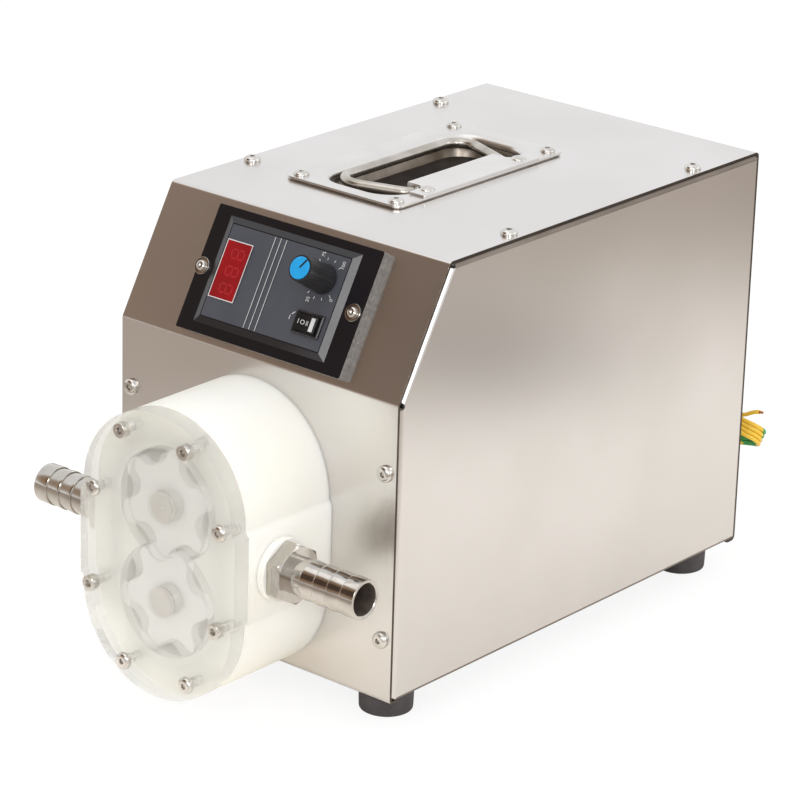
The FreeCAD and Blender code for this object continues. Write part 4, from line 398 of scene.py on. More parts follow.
BASE = Seat((0.0, 0.0, 0.0), (1.0, 0.0, 0.0), (0.0, 1.0, 0.0), (0.0, 0.0, 1.0))
TOP = replace(BASE, origin=(0.0, 0.0, HOUSING_H))
FRONT = Seat((0.0, 0.0, 0.0), (1.0, 0.0, 0.0), (0.0, 0.0, 1.0), (0.0, -1.0, 0.0))
REAR = Seat((0.0, HOUSING_D, 0.0), (-1.0, 0.0, 0.0), (0.0, 0.0, 1.0), (0.0, 1.0, 0.0))
SLOPE = Seat((0.0, 0.0, FRONT_H), (1.0, 0.0, 0.0), (0.0, math.cos(SLOPE_ANGLE), math.sin(SLOPE_ANGLE)),
             (0.0, -math.sin(SLOPE_ANGLE), math.cos(SLOPE_ANGLE)))


@dataclass
class Surface:
    """Points in housing millimetres, and groups of faces, each an array (faces, corners) of point numbers."""

    points: np.ndarray
    groups: list[np.ndarray]

    def faces(self) -> list[list[int]]:
        """Every face as a list of point numbers."""
        return [face for group in self.groups for face in group.tolist()]


def join_all(surfaces: list[Surface]) -> Surface:
    """Several surfaces as one; the numbers in each are raised by the points before it."""
    first = np.cumsum([0] + [len(s.points) for s in surfaces])
    return Surface(np.vstack([s.points for s in surfaces]),
                   [group + shift for s, shift in zip(surfaces, first) for group in s.groups])


def loft(rings: np.ndarray, capped: bool = True) -> Surface:
    """Skin through closed rings of equal point count.

    Row i, column j of the grid is point j of ring i; each face joins (i, j), (i, j+1),
    (i+1, j+1) and (i+1, j), and the last column joins the first.

    Args:
        rings: array (rings, points, 3) in housing millimetres.
        capped: close the first and the last ring with one face each.

    Returns:
        The skin.
    """
    rows, cols = rings.shape[:2]
    i, j = np.meshgrid(np.arange(rows - 1), np.arange(cols), indexing="ij")
    after = (j + 1) % cols
    quads = np.stack([i * cols + j, i * cols + after, (i + 1) * cols + after, (i + 1) * cols + j], axis=-1)
    groups = [quads.reshape(-1, 4)]
    if capped:
        groups.append(np.array([np.arange(cols)[::-1], np.arange(cols) + (rows - 1) * cols]))
    return Surface(rings.reshape(-1, 3), groups)


def circle(count: int) -> np.ndarray:
    """Points of the unit circle: cosine and sine of equal steps."""
    a = 2 * math.pi * np.arange(count) / count
    return np.stack([np.cos(a), np.sin(a)], axis=1)


def hexagon(count: int, across_flats: float) -> np.ndarray:
    """Points of a hexagon at equal angles: half the flats over the cosine from the nearest flat's middle."""
    a = 2 * math.pi * np.arange(count) / count
    from_flat = (a + math.pi / 6) % (math.pi / 3) - math.pi / 6
    return circle(count) * (across_flats / 2.0 / np.cos(from_flat))[:, None]


def rounded_profile(corners: list[Triple], steps: int = 4) -> np.ndarray:
    """A (radius, height) line with its corners rounded.

    Each corner with a size is replaced by a quadratic curve between the two points that
    lie that far from it along its two sides.

    Args:
        corners: radius, height and rounding of each corner.
        steps: points on each rounding.

    Returns:
        Array (points, 2).
    """
    flat = np.array(corners)[:, :2]
    made = []
    for k, (_, _, size) in enumerate(corners):
        here = flat[k]
        if size <= 0.0 or k in (0, len(corners) - 1):
            made.append(here[None, :])
            continue
        before, after = flat[k - 1] - here, flat[k + 1] - here
        # two roundings on one side never reach past its middle
        cut = min(size, 0.49 * float(np.linalg.norm(before)), 0.49 * float(np.linalg.norm(after)))
        start = here + before / np.linalg.norm(before) * cut
        end = here + after / np.linalg.norm(after) * cut
        t = np.linspace(0.0, 1.0, steps)[:, None]
        made.append((1 - t) ** 2 * start + 2 * t * (1 - t) * here + t ** 2 * end)
    return np.vstack(made)


def rings_on(seat: Seat, centre: Pair, outlines: list[np.ndarray], heights: np.ndarray) -> np.ndarray:
    """Outlines round one centre, each at its height out of the seat, as rings in housing millimetres."""
    flat = np.array(outlines) + np.array(centre)
    tall = np.broadcast_to(np.asarray(heights, float)[:, None, None], flat.shape[:2] + (1,))
    return seat.place(np.concatenate([flat, tall], axis=-1))


def circles(radii: np.ndarray, count: int) -> list[np.ndarray]:
    """One circle for each radius; none shrinks to a point."""
    return [max(r, 0.02) * circle(count) for r in radii]


def turned(seat: Seat, centre: Pair, profile: np.ndarray, count: int = 48) -> Surface:
    """A turned piece: a (radius, height) line carried once round the way out of its seat.

    Args:
        seat: the place it stands on.
        centre: its axis on the seat.
        profile: array (points, 2), closed by flat caps at both ends.
        count: points of each ring.

    Returns:
        The closed skin.
    """
    return loft(rings_on(seat, centre, circles(profile[:, 0], count), profile[:, 1]))


def rectangle(a: Pair, b: Pair, grown: float, cut: float) -> np.ndarray:
    """Points of a rectangle, grown on all sides, whose corners are cut off a little."""
    (a0, a1), (b0, b1) = (a[0] - grown, a[1] + grown), (b[0] - grown, b[1] + grown)
    return np.array([(a1, b1 - cut), (a1 - cut, b1), (a0 + cut, b1), (a0, b1 - cut), (a0, b0 + cut),
                     (a0 + cut, b0), (a1 - cut, b0), (a1, b0 + cut)])


def thin_frame(seat: Seat, a: Pair, b: Pair, width: float, heights: Pair) -> Surface:
    """A flat printed line round a rectangle: outer and inner outline, low and high, joined in a ring."""
    outer, inner = (rectangle(a, b, grown, 0.01) for grown in (width, 0.0))
    low, high = heights
    return loft(rings_on(seat, (0.0, 0.0), [outer, outer, inner, inner, outer],
                         np.array([low, high, high, low, low])), capped=False)


def patch(seat: Seat, a: Pair, b: Pair, heights: Pair) -> Surface:
    """A flat printed rectangle."""
    outline = rectangle(a, b, 0.0, 0.001)
    return loft(rings_on(seat, (0.0, 0.0), [outline, outline], np.array(heights)))


def bar(seat: Seat, start: Pair, end: Pair, width: float, heights: Pair, pointed: float = 0.0) -> Surface:
    """A flat bar between two points, with square or pointed ends.

    Args:
        seat: the place it lies on.
        start: middle of its first end.
        end: middle of its second end.
        width: its width.
        heights: low and high side.
        pointed: length of each point.

    Returns:
        The closed skin of its six-sided outline.
    """
    p, q = np.array(start, float), np.array(end, float)
    way = (q - p) / np.linalg.norm(q - p)
    side = np.array([-way[1], way[0]]) * width / 2.0
    inner = way * pointed
    outline = np.array([p, p + inner - side, q - inner - side, q, q - inner + side, p + inner + side])
    return loft(rings_on(seat, (0.0, 0.0), [outline, outline], np.array(heights)))


def lettering(seat: Seat, text: str, size: float, centre: Pair, turn: float, height: float) -> Surface:
    """Printed figures as a thin raised shape, made with the outline font.

    Args:
        seat: the place they are printed on.
        text: the figures.
        size: their size in millimetres.
        centre: middle of the text on the seat.
        turn: angle of the line of text from the across direction, in radians.
        height: height of their underside.

    Returns:
        The font's shape, turned in the seat's plane and put in its place.
    """
    half_thick = 0.02
    data = bpy.data.curves.new("lettering", "FONT")
    data.body = text
    data.size = size
    data.align_x = "CENTER"
    data.align_y = "CENTER"
    data.extrude = half_thick
    data.resolution_u = 3
    holder = bpy.data.objects.new("lettering", data)
    mesh = bpy.data.meshes.new_from_object(holder)
    mesh.calc_loop_triangles()
    flat = read(mesh.vertices, "co", 3)
    corners = read(mesh.loop_triangles, "vertices", 3, int)
    bpy.data.objects.remove(holder)
    bpy.data.curves.remove(data)
    bpy.data.meshes.remove(mesh)
    c, s = math.cos(turn), math.sin(turn)
    a, b, out = flat.T
    local = np.stack([centre[0] + c * a - s * b, centre[1] + s * a + c * b, height + half_thick + out],
                     axis=1)
    return Surface(seat.place(local), [corners])


def socket_screw(seat: Seat, centre: Pair, outer: np.ndarray, key: float, depth: float,
                 count: int = 36) -> Surface:
    """A screw whose turned outside runs into a hexagon socket.

    Args:
        seat: the place it is driven into.
        centre: its axis on the seat.
        outer: (radius, height) line from the shank's end to the rim of the socket.
        key: socket size across flats.
        depth: depth of the socket below the rim.
        count: points of each ring.

    Returns:
        The closed skin.
    """
    # the socket's share of its size and how deep that ring lies: countersunk rim, walls, drilled floor
    sunk = [(1.06, 0.0), (1.0, 0.1), (1.0, depth - 0.05), (0.95, depth), (0.1, depth + 0.3)]
    outlines = circles(outer[:, 0], count) + [hexagon(count, key * share) for share, _ in sunk]
    heights = np.concatenate([outer[:, 1], [outer[-1, 1] - down for _, down in sunk]])
    return loft(rings_on(seat, centre, outlines, heights))


def swept(path: np.ndarray, radius: float, count: int = 12) -> Surface:
    """A round rod along points.

    Each ring stands square to the path; its first direction is carried on from the
    ring before by taking away its part along the new tangent.

    Args:
        path: array (points, 3) in housing millimetres.
        radius: the rod's radius.
        count: points of each ring.

    Returns:
        The closed skin.
    """
    tangent = np.gradient(path, axis=0)
    tangent /= np.linalg.norm(tangent, axis=1, keepdims=True)
    side = np.cross(tangent[0], (0.1, 0.2, 1.0))
    ring = circle(count) * radius
    rings = []
    for point, way in zip(path, tangent):
        side = side - way * float(side @ way)
        side /= np.linalg.norm(side)
        rings.append(point + ring[:, :1] * side + ring[:, 1:] * np.cross(way, side))
    return loft(np.array(rings))


def read(items: bpy.types.bpy_prop_collection, key: str, columns: int = 1, kind: type = float) -> np.ndarray:
    """One property of all items of a mesh, as an array (items, columns)."""
    values = np.empty(len(items) * columns, dtype=kind)
    items.foreach_get(key, values)
    return values.reshape(-1, columns)


def finished(mesh: bpy.types.Mesh, merge_mm: float, flat_degrees: float = 0.0) -> None:
    """Merges equal points, joins flat neighbours, turns all faces outward and shades smooth.

    Args:
        mesh: the mesh to finish.
        merge_mm: points nearer than this become one.
        flat_degrees: neighbours flatter than this are joined; zero leaves them.
    """
    work = bmesh.new()
    work.from_mesh(mesh)
    bmesh.ops.remove_doubles(work, verts=work.verts, dist=merge_mm / 1000.0)
    if flat_degrees > 0.0:
        bmesh.ops.dissolve_limit(work, angle_limit=math.radians(flat_degrees), verts=work.verts,
                                 edges=work.edges)
    bmesh.ops.recalc_face_normals(work, faces=work.faces)
    work.to_mesh(mesh)
    work.free()
    mesh.polygons.foreach_set("use_smooth", [True] * len(mesh.polygons))


@dataclass(frozen=True)
class Piece:
    """A piece of the scene: its finish, the CAD nodes it stands for, a slot name that this script does not
    use, and its body.
    """

    name: str
    finish: Finish
    nodes: tuple[str, ...] = ()
    slot: str | None = None
    body: str = ROOT_BODY

    def enter(self, mesh: bpy.types.Mesh) -> bpy.types.Object:
        """Puts the piece's mesh into the scene, at the origin."""
        mesh.materials.append(self.finish.build())
        made = bpy.data.objects.new(self.name, mesh)
        bpy.context.collection.objects.link(made)
        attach(made, self.body)
        if self.nodes:
            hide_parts(*self.nodes)
        LOG.info("%s: %d faces", self.name, len(mesh.polygons))
        return made

    def add(self, *surfaces: Surface, crease: float = 32.0) -> bpy.types.Object:
        """Makes the piece from worked-out surfaces.

        Args:
            *surfaces: its shape.
            crease: edges sharper than this many degrees stay sharp.

        Returns:
            The object.
        """
        whole = join_all(list(surfaces))
        mesh = bpy.data.meshes.new(self.name)
        mesh.from_pydata(to_metres(whole.points).tolist(), [], whole.faces())
        finished(mesh, merge_mm=0.0005)
        mesh.set_sharp_from_angle(angle=math.radians(crease))
        return self.enter(mesh)

    def soften(self, edge_mm: float, crease: float = COPY_CREASE,
               moved: Pair | None = None) -> bpy.types.Object:
        """Makes the piece from its CAD node's shape, with broken edges as a real piece has them.

        Args:
            edge_mm: width of the broken edges.
            crease: edges sharper than this many degrees are broken.
            moved: the Y of a flat face that parts from its neighbour, and how far it moves
                along Y, both in housing millimetres.

        Returns:
            The object.
        """
        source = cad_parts[self.nodes[0]].data
        points = read(source.vertices, "co", 3)
        if moved is not None:
            face_y = to_metres((0.0, moved[0], 0.0))[1]
            points[np.abs(points[:, 1] - face_y) < ON_FACE, 1] += moved[1] / 1000.0
        source.calc_loop_triangles()
        mesh = bpy.data.meshes.new(self.name)
        mesh.from_pydata(points.tolist(), [], read(source.loop_triangles, "vertices", 3, int).tolist())
        finished(mesh, merge_mm=0.001, flat_degrees=0.6)
        made = self.enter(mesh)
        bevel = made.modifiers.new("broken_edges", "BEVEL")
        bevel.width = edge_mm / 1000.0
        bevel.segments = 2
        bevel.limit_method = "ANGLE"
        bevel.angle_limit = math.radians(crease)
        bevel.use_clamp_overlap = True
        bevel.harden_normals = True
        return made


def part_finish(piece: bpy.types.Object, finish: Finish, seat: Seat,
                chosen: Callable[[np.ndarray, np.ndarray], np.ndarray]) -> None:
    """Gives some faces of a piece another finish.

    Args:
        piece: the piece.
        finish: the finish that is added.
        seat: the place in whose directions the faces are judged.
        chosen: takes face middles and face directions on the seat, and gives true or false each.
    """
    faces = piece.data.polygons
    picked = chosen(seat.measure(read(faces, "center", 3)), seat.turn(read(faces, "normal", 3)))
    piece.data.materials.append(finish.build())
    index = read(faces, "material_index", 1, int)[:, 0]
    index[picked] = len(piece.data.materials) - 1
    faces.foreach_set("material_index", index.tolist())


def round_rim(piece: bpy.types.Object, low: Triple, high: Triple, width_mm: float) -> None:
    """Rounds only the edges that lie in a box, in place of the piece's broken edges.

    Args:
        piece: a piece made by Piece.soften.
        low: the box's lower corner in housing millimetres.
        high: its upper corner.
        width_mm: width of the rounding.
    """
    mesh = piece.data
    points = read(mesh.vertices, "co", 3)
    inside = np.all((points > to_metres(low)) & (points < to_metres(high)), axis=1)
    weight = inside[read(mesh.edges, "vertices", 2, int)].all(axis=1).astype(float)
    mesh.attributes.new("bevel_weight_edge", "FLOAT", "EDGE").data.foreach_set("value", weight.tolist())
    mesh.set_sharp_from_angle(angle=math.radians(COPY_CREASE))
    bevel = piece.modifiers["broken_edges"]
    bevel.limit_method = "WEIGHT"
    bevel.width = width_mm / 1000.0
    bevel.segments = 5
    LOG.info("%s: %d rim edges rounded", piece.name, int(weight.sum()))


@dataclass
class Stage:
    """Camera, soft studio light and the pale floor; places in metres, colours linear.

    A spot on the floor is its middle, the radius where it starts to fade and the radius
    where it ends; the floor's pool, dim spot and glowing spot are painted light and painted shade, which the
    metal reflects. A lamp is its name, place, size, power and colour.
    """

    azimuth: float = 39.718
    elevation: float = 20.823
    roll: float = 1.699
    lens_mm: float = 167.98
    eye: Triple = (1.24125, -1.49546, 0.86841)
    dark_side: Triple = (-0.476, -0.747, 0.508)
    dark_cosine: float = 0.8
    room_tones: tuple[tuple[float, Triple], ...] = (
        (0.15, (0.995, 1.0, 1.015)), (0.62, (0.43, 0.32, 0.237)), (0.84, (0.29, 0.194, 0.131)),
        (0.93, (0.1, 0.064, 0.045)))
    matt_light: Triple = (1.0, 0.998, 0.992)
    lamps: tuple[tuple[str, Triple, float, float, Triple], ...] = (
        ("overhead_panel", (-0.3, -0.5, 1.9), 1.4, 3.0, (1.0, 0.995, 0.985)),
        ("right_panel", (1.6, 0.9, 1.0), 0.9, 2.2, (1.0, 0.985, 0.96)),
        ("side_panel", (1.5, -1.05, 0.87), 0.5, 4.8, (1.0, 0.995, 0.99)),
        ("front_panel", (0.52, -1.38, 1.02), 0.4, 3.2, (1.0, 0.995, 0.99)))
    lamp_target: Triple = (0.0, 0.05, 0.1)
    # The floor's painted pool of light, painted shade spot and painted glowing spot, which the metal reflects
    painted_light_pool: tuple[float, ...] = (0.12, 0.16, 0.3, 0.8)
    painted_pool_tone: Triple = (0.95, 0.912, 0.862)
    far_tone: Triple = (0.42, 0.362, 0.315)
    painted_shade_spot: tuple[float, ...] = (0.49, 0.37, 0.0, 0.22)
    painted_shade_tone: Triple = (0.22, 0.195, 0.178)
    painted_glow_spot: tuple[float, ...] = (-0.06, -0.24, 0.0, 0.24)
    painted_glow_tone: Triple = (1.0, 0.94, 0.87)
    painted_glow_strength: float = 0.22
    seen_white: float = 0.86
    shadow_veil: Triple = (0.16, 0.16, 0.16)
    floor_half: float = 4.0
    sensor_mm: float = 36.0
    sees_to: float = 20.0

    def aim_camera(self) -> None:
        """The camera where the photograph was taken from; its frame turns by the roll."""
        a, e, r = (math.radians(v) for v in (self.azimuth, self.elevation, self.roll))
        back = Vector((math.sin(a) * math.cos(e), -math.cos(a) * math.cos(e), math.sin(e)))
        right = Vector((math.cos(a), math.sin(a), 0.0))
        up = back.cross(right)
        right_turned = right * math.cos(r) + up * math.sin(r)
        up_turned = up * math.cos(r) - right * math.sin(r)
        data = bpy.data.cameras.new("photo_camera")
        data.lens = self.lens_mm
        data.sensor_width = self.sensor_mm
        data.clip_end = self.sees_to
        camera = bpy.data.objects.new("photo_camera", data)
        turn = Matrix((right_turned, up_turned, back)).transposed()
        camera.matrix_world = Matrix.Translation(self.eye) @ turn.to_4x4()
        bpy.context.collection.objects.link(camera)
        bpy.context.scene.camera = camera

    def by_ray(self, tree: bpy.types.NodeTree, others: bpy.types.Node,
               plain: bpy.types.Node) -> bpy.types.Node:
        """What the camera and clear things see is plain; all other rays meet the others."""
        path = node(tree, "LightPath").outputs
        direct = node(tree, "Math", {0: path["Is Camera Ray"], 1: path["Is Transmission Ray"]},
                      operation="MAXIMUM")
        return node(tree, "MixShader", {0: direct, 1: others, 2: plain})

    def light_room(self) -> None:
        """An even white room for matt things; gloss shows one warm dark side, low in front on the left.

        The tone that gloss shows follows the direction: it goes from white to brown as
        the cosine of the angle to the dark side's middle grows to 1.
        """
        world = bpy.data.worlds.new("studio_room")
        bpy.context.scene.world = world
        tree = emptied(world)
        direction = node(tree, "TexCoord").outputs["Generated"]
        facing = node(tree, "VectorMath", {0: direction, 1: Vector(self.dark_side).normalized()},
                      operation="DOT_PRODUCT")
        step = node(tree, "MapRange", {"Value": facing, "From Min": self.dark_cosine})
        room = ramp(tree, step, *[(place, (*tone, 1.0)) for place, tone in self.room_tones])
        room.color_ramp.interpolation = "EASE"
        shown = node(tree, "Background", {"Color": room})
        even = node(tree, "Background", {"Color": (*self.matt_light, 1.0)})
        glossy = node(tree, "LightPath").outputs["Is Glossy Ray"]
        others = node(tree, "MixShader", {0: glossy, 1: even, 2: shown})
        white = node(tree, "Background", {"Color": (1.0, 1.0, 1.0, 1.0)})
        node(tree, "OutputWorld", {"Surface": self.by_ray(tree, others, white)})

    def hang_lamps(self) -> None:
        """Soft panels: over the work, low at the right rear, and small ones at the right and in front."""
        for name, place, size, power, colour in self.lamps:
            data = bpy.data.lights.new(name, "AREA")
            data.shape = "SQUARE"
            data.size = size
            data.energy = power
            data.color = colour
            lamp = bpy.data.objects.new(name, data)
            aim = (Vector(self.lamp_target) - Vector(place)).normalized()
            lamp.matrix_world = Matrix.Translation(place) @ aim.to_track_quat("-Z", "Y").to_matrix().to_4x4()
            bpy.context.collection.objects.link(lamp)

    def spot(self, tree: bpy.types.NodeTree, where: tuple[float, ...]) -> bpy.types.Node:
        """A soft round spot on the floor: 1 in its middle, 0 past its outer radius."""
        place = node(tree, "TexCoord").outputs["Object"]
        away = node(tree, "VectorMath", {0: place, 1: (*where[:2], 0.0)}, operation="DISTANCE")
        return node(tree, "MapRange", {"Value": away, "From Min": where[2], "From Max": where[3],
                                       "To Min": 1.0, "To Max": 0.0}, interpolation_type="SMOOTHSTEP")

    def shade_floor(self, tree: bpy.types.NodeTree) -> bpy.types.Node:
        """A card with a painted pool of light near the work, a painted shade spot and a painted glowing spot;
        the camera sees it white, with its real shadow.
        """
        tone = blend(tree, self.spot(tree, self.painted_light_pool), (*self.far_tone, 1.0), (*self.painted_pool_tone, 1.0))
        tone = blend(tree, self.spot(tree, self.painted_shade_spot), tone, (*self.painted_shade_tone, 1.0))
        matt = node(tree, "BsdfDiffuse", {"Color": tone})
        # painted glowing spot: emission on the floor, which is no lamp
        lit = node(tree, "Math", {0: self.spot(tree, self.painted_glow_spot), 1: self.painted_glow_strength},
                   operation="MULTIPLY")
        painted_glow_emission = node(tree, "Emission", {"Color": (*self.painted_glow_tone, 1.0), "Strength": lit})
        white = node(tree, "Emission", {"Color": (1.0, 1.0, 1.0, 1.0), "Strength": self.seen_white})
        veil = node(tree, "BsdfDiffuse", {"Color": (*self.shadow_veil, 1.0)})
        return self.by_ray(tree, node(tree, "AddShader", {0: matt, 1: painted_glow_emission}),
                           node(tree, "AddShader", {0: white, 1: veil}))

    def lay_floor(self) -> None:
        """The pale floor card under the work."""
        mesh = bpy.data.meshes.new("floor_card")
        h = self.floor_half
        mesh.from_pydata([(-h, -h, 0), (h, -h, 0), (h, h, 0), (-h, h, 0)], [], [(0, 1, 2, 3)])
        mesh.materials.append(shaded("floor_card_painted_pools", self.shade_floor))
        floor = bpy.data.objects.new("floor_card", mesh)
        bpy.context.collection.objects.link(floor)

    def build(self) -> None:
        """Camera, light and floor, in that order."""
        self.aim_camera()
        self.light_room()
        self.hang_lamps()
        self.lay_floor()
        LOG.info("stage: camera, room, %d panels and the floor are set", len(self.lamps))


@dataclass
class EarthLead:
    """Green and yellow earth lead: down from its lug, four turns in a tied hank, and a bare end.

    Sizes are in housing millimetres. The lead-in's points are counted from the end of
    the lug's barrel; the hank's first run starts a little way along its slot shape and
    its last one ends short of a full turn.
    """

    real_length: float = 650.0
    wire_r: float = 1.25
    barrel: Triple = (56.0, 315.2, 96.0)
    lead_in: tuple[Triple, ...] = (
        (0.0, 0.0, 0.0), (0.0, 0.0, -8.0), (0.0, 0.6, -15.0), (2.0, 5.0, -22.0), (6.5, 11.5, -27.3))
    run_x: Pair = (43.0, 89.0)
    fold_r: float = 8.1
    middle_z: float = 59.0
    first_y: float = 331.3
    pitch: float = 2.58
    lean: float = 50.0
    lean_x: Pair = (70.0, 88.0)
    turns: int = 4
    points_a_turn: int = 24
    first_run_from: float = 30.0
    last_run_short: float = 4.0
    tail: tuple[Triple, ...] = (
        (74.0, 340.5, 66.3), (80.0, 338.5, 66.9), (85.0, 336.9, 68.6), (89.8, 336.0, 71.5),
        (93.2, 335.6, 72.9), (95.2, 335.5, 73.3))
    tip: tuple[Triple, ...] = ((94.8, 335.5, 73.2), (96.2, 335.45, 73.5), (97.7, 335.4, 73.6))
    tip_r: float = 0.8

    def hank(self) -> np.ndarray:
        """Turns of the hank as points.

        Each turn runs along a slot shape at one pace: a straight top run, half a circle,
        the bottom run and half a circle again, while the depth grows by one pitch a turn.
        Toward its free right end the hank leans to the wall: depth and height turn about
        its middle line by an angle that grows with x.
        """
        (left, right), r = self.run_x, self.fold_r
        straight, arc = right - left, math.pi * r
        loop = 2 * (straight + arc)
        steps = self.turns * self.points_a_turn
        gone = np.arange(steps) * (self.turns * loop - self.last_run_short) / (steps - 1)
        s = (self.first_run_from + gone) % loop
        leg = np.searchsorted([straight, straight + arc, 2 * straight + arc], s, side="right")
        a = (s - straight) / r
        b = (s - 2 * straight - arc) / r
        x = np.choose(leg, [left + s, right + r * np.sin(a), right - (s - straight - arc),
                            left - r * np.sin(b)])
        z = np.choose(leg, [np.full_like(s, r), r * np.cos(a), np.full_like(s, -r), -r * np.cos(b)])
        y = self.pitch * (gone / loop - self.turns / 2.0)
        upright, leant = self.lean_x
        lean = math.radians(self.lean) * np.clip((x - upright) / (leant - upright), 0.0, 1.0)
        depth = y * np.cos(lean) - z * np.sin(lean)
        height = z * np.cos(lean) + y * np.sin(lean)
        middle_y = self.first_y + self.pitch * self.turns / 2.0
        return np.stack([x, middle_y + depth, self.middle_z + height], axis=1)

    def build(self) -> None:
        """The lead as one curve, its bare tip, and what they stand for."""
        start = np.array(self.barrel) + np.array(self.lead_in)
        points = to_metres(np.vstack([start, self.hank(), self.tail]))
        data = bpy.data.curves.new("earth_lead", "CURVE")
        data.dimensions = "3D"
        data.resolution_u = 6
        data.bevel_depth = self.wire_r / 1000.0
        data.bevel_resolution = 4
        data.use_fill_caps = True
        spline = data.splines.new("NURBS")
        spline.points.add(len(points) - 1)
        spline.points.foreach_set("co", np.hstack([points, np.ones((len(points), 1))]).ravel().tolist())
        spline.order_u = 3
        spline.use_endpoint_u = True
        data.materials.append(EarthJacket().build())
        lead = bpy.data.objects.new("earth_lead", data)
        bpy.context.collection.objects.link(lead)
        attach(lead, ROOT_BODY)
        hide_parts("earth_wire", "earth_coil")
        strands = swept(np.array(self.tip), self.tip_r)
        tip = Piece("earth_lead_tip", COPPER_STRAND, slot="lug_brass").add(strands)
        LOG.info("earth lead: %.0f mm measured, %.0f mm stated, %d turns", spline.calc_length() * 1000.0,
                 self.real_length, self.turns)


M5_BUTTON_R = 4.7
M5_BUTTON_KEY = 3.0
COVER_SHANK = 28.0


@dataclass(frozen=True)
class ButtonScrew:
    """A button head screw; its socket keeps the share of the head that an M5 one has.

    The lip and the socket's depth are shares of the head's height, the flat one of its radius.
    """

    radius: float
    height: float
    shank: float
    shank_r: float = M5_R
    lip: float = 0.22
    flat: float = 0.5
    socket: float = 0.62

    def at(self, seat: Seat, centre: Pair, base: float = 0.0) -> Surface:
        """The screw on its seat: a short lip, a quarter-ellipse shoulder, a flat round the socket.

        The shoulder's radius is half the head plus half the head times the cosine, and
        its height grows with the sine, as the angle goes from the lip to the flat.
        """
        lip, flat = self.lip * self.height, self.flat * self.radius
        t = np.linspace(0.0, math.pi / 2, 8)
        shoulder = np.stack([flat + (self.radius - flat) * np.cos(t),
                             lip + (self.height - lip) * np.sin(t)], axis=1)
        start = np.array([(self.shank_r, -self.shank), (self.shank_r, -0.02), (self.radius - 0.12, 0.0),
                          (self.radius, 0.12)])
        outer = np.vstack([start, shoulder]) + (0.0, base)
        key = M5_BUTTON_KEY * self.radius / M5_BUTTON_R
        return socket_screw(seat, centre, outer, key, self.socket * self.height)


HOUSING_SCREW = ButtonScrew(M5_BUTTON_R, 2.9, 8.0)
COVER_BUTTON = ButtonScrew(M5_BUTTON_R, 2.9, COVER_SHANK)
PLATE_SCREW = ButtonScrew(4.4, 2.1, 8.0)
PANEL_SCREW = ButtonScrew(2.9, 1.6, 9.0, 2.0)


@dataclass
class Fasteners:
    """Socket screws of the housing, the clear cover and the handle plate.

    Sizes are in housing millimetres; the places are those of the CAD nodes.
    """

    side_x: float = 91.3
    front_z: Pair = (36.0, 130.3)
    top_y: Pair = (95.5, 259.0)
    rear_z: Pair = (36.0, 200.0)
    cap_r: float = 4.25
    cap_h: float = 5.0
    cap_key: float = 4.0
    cap_socket: float = 2.5
    cap_rim: float = 0.66
    cover_face_y: float = -75.7
    cap_places: tuple[Pair, ...] = ((22.6, 145.44), (-22.6, 145.44), (45.2, 52.3), (-45.2, 52.3))
    button_places: tuple[Pair, ...] = ((45.2, 106.3), (-45.2, 106.3), (22.6, 13.16), (-22.6, 13.16))
    plate_seat_z: float = 240.5
    plate_x: Pair = (-51.0, 17.2)
    plate_y: Pair = (91.1, 222.3)

    def cap(self, seat: Seat, centre: Pair) -> Surface:
        """One cap head: a cylinder with a rounded rim and a deep socket."""
        outer = rounded_profile([(M5_R, -COVER_SHANK, 0.0), (M5_R, -0.02, 0.0), (self.cap_r - 0.1, 0.0, 0.0),
                                 (self.cap_r, 0.15, 0.0), (self.cap_r, self.cap_h, 0.55),
                                 (self.cap_key * self.cap_rim, self.cap_h, 0.0)])
        return socket_screw(seat, centre, outer, self.cap_key, self.cap_socket)

    def build(self) -> None:
        """All the screws, one piece for each CAD node."""
        sides = ((FRONT, self.front_z), (TOP, self.top_y), (REAR, self.rear_z))
        cover = replace(FRONT, origin=(0.0, self.cover_face_y, 0.0))
        plate = replace(BASE, origin=(0.0, 0.0, self.plate_seat_z))
        sets = {
            ("housing_screws", "wrap_screws"): [HOUSING_SCREW.at(seat, (x, along)) for seat, rows in sides
                                                for x in (-self.side_x, self.side_x) for along in rows],
            ("cover_cap_heads", "cover_cap_screws"): [self.cap(cover, at) for at in self.cap_places],
            ("cover_button_heads", "cover_button_screws"): [COVER_BUTTON.at(cover, at)
                                                            for at in self.button_places],
            ("handle_plate_screws", "handle_screws"): [PLATE_SCREW.at(plate, (x, y)) for x in self.plate_x
                                                       for y in self.plate_y]}
        for (name, cad_node), screws in sets.items():
            Piece(name, SCREW_STEEL, (cad_node,), "screw_steel").add(*screws)


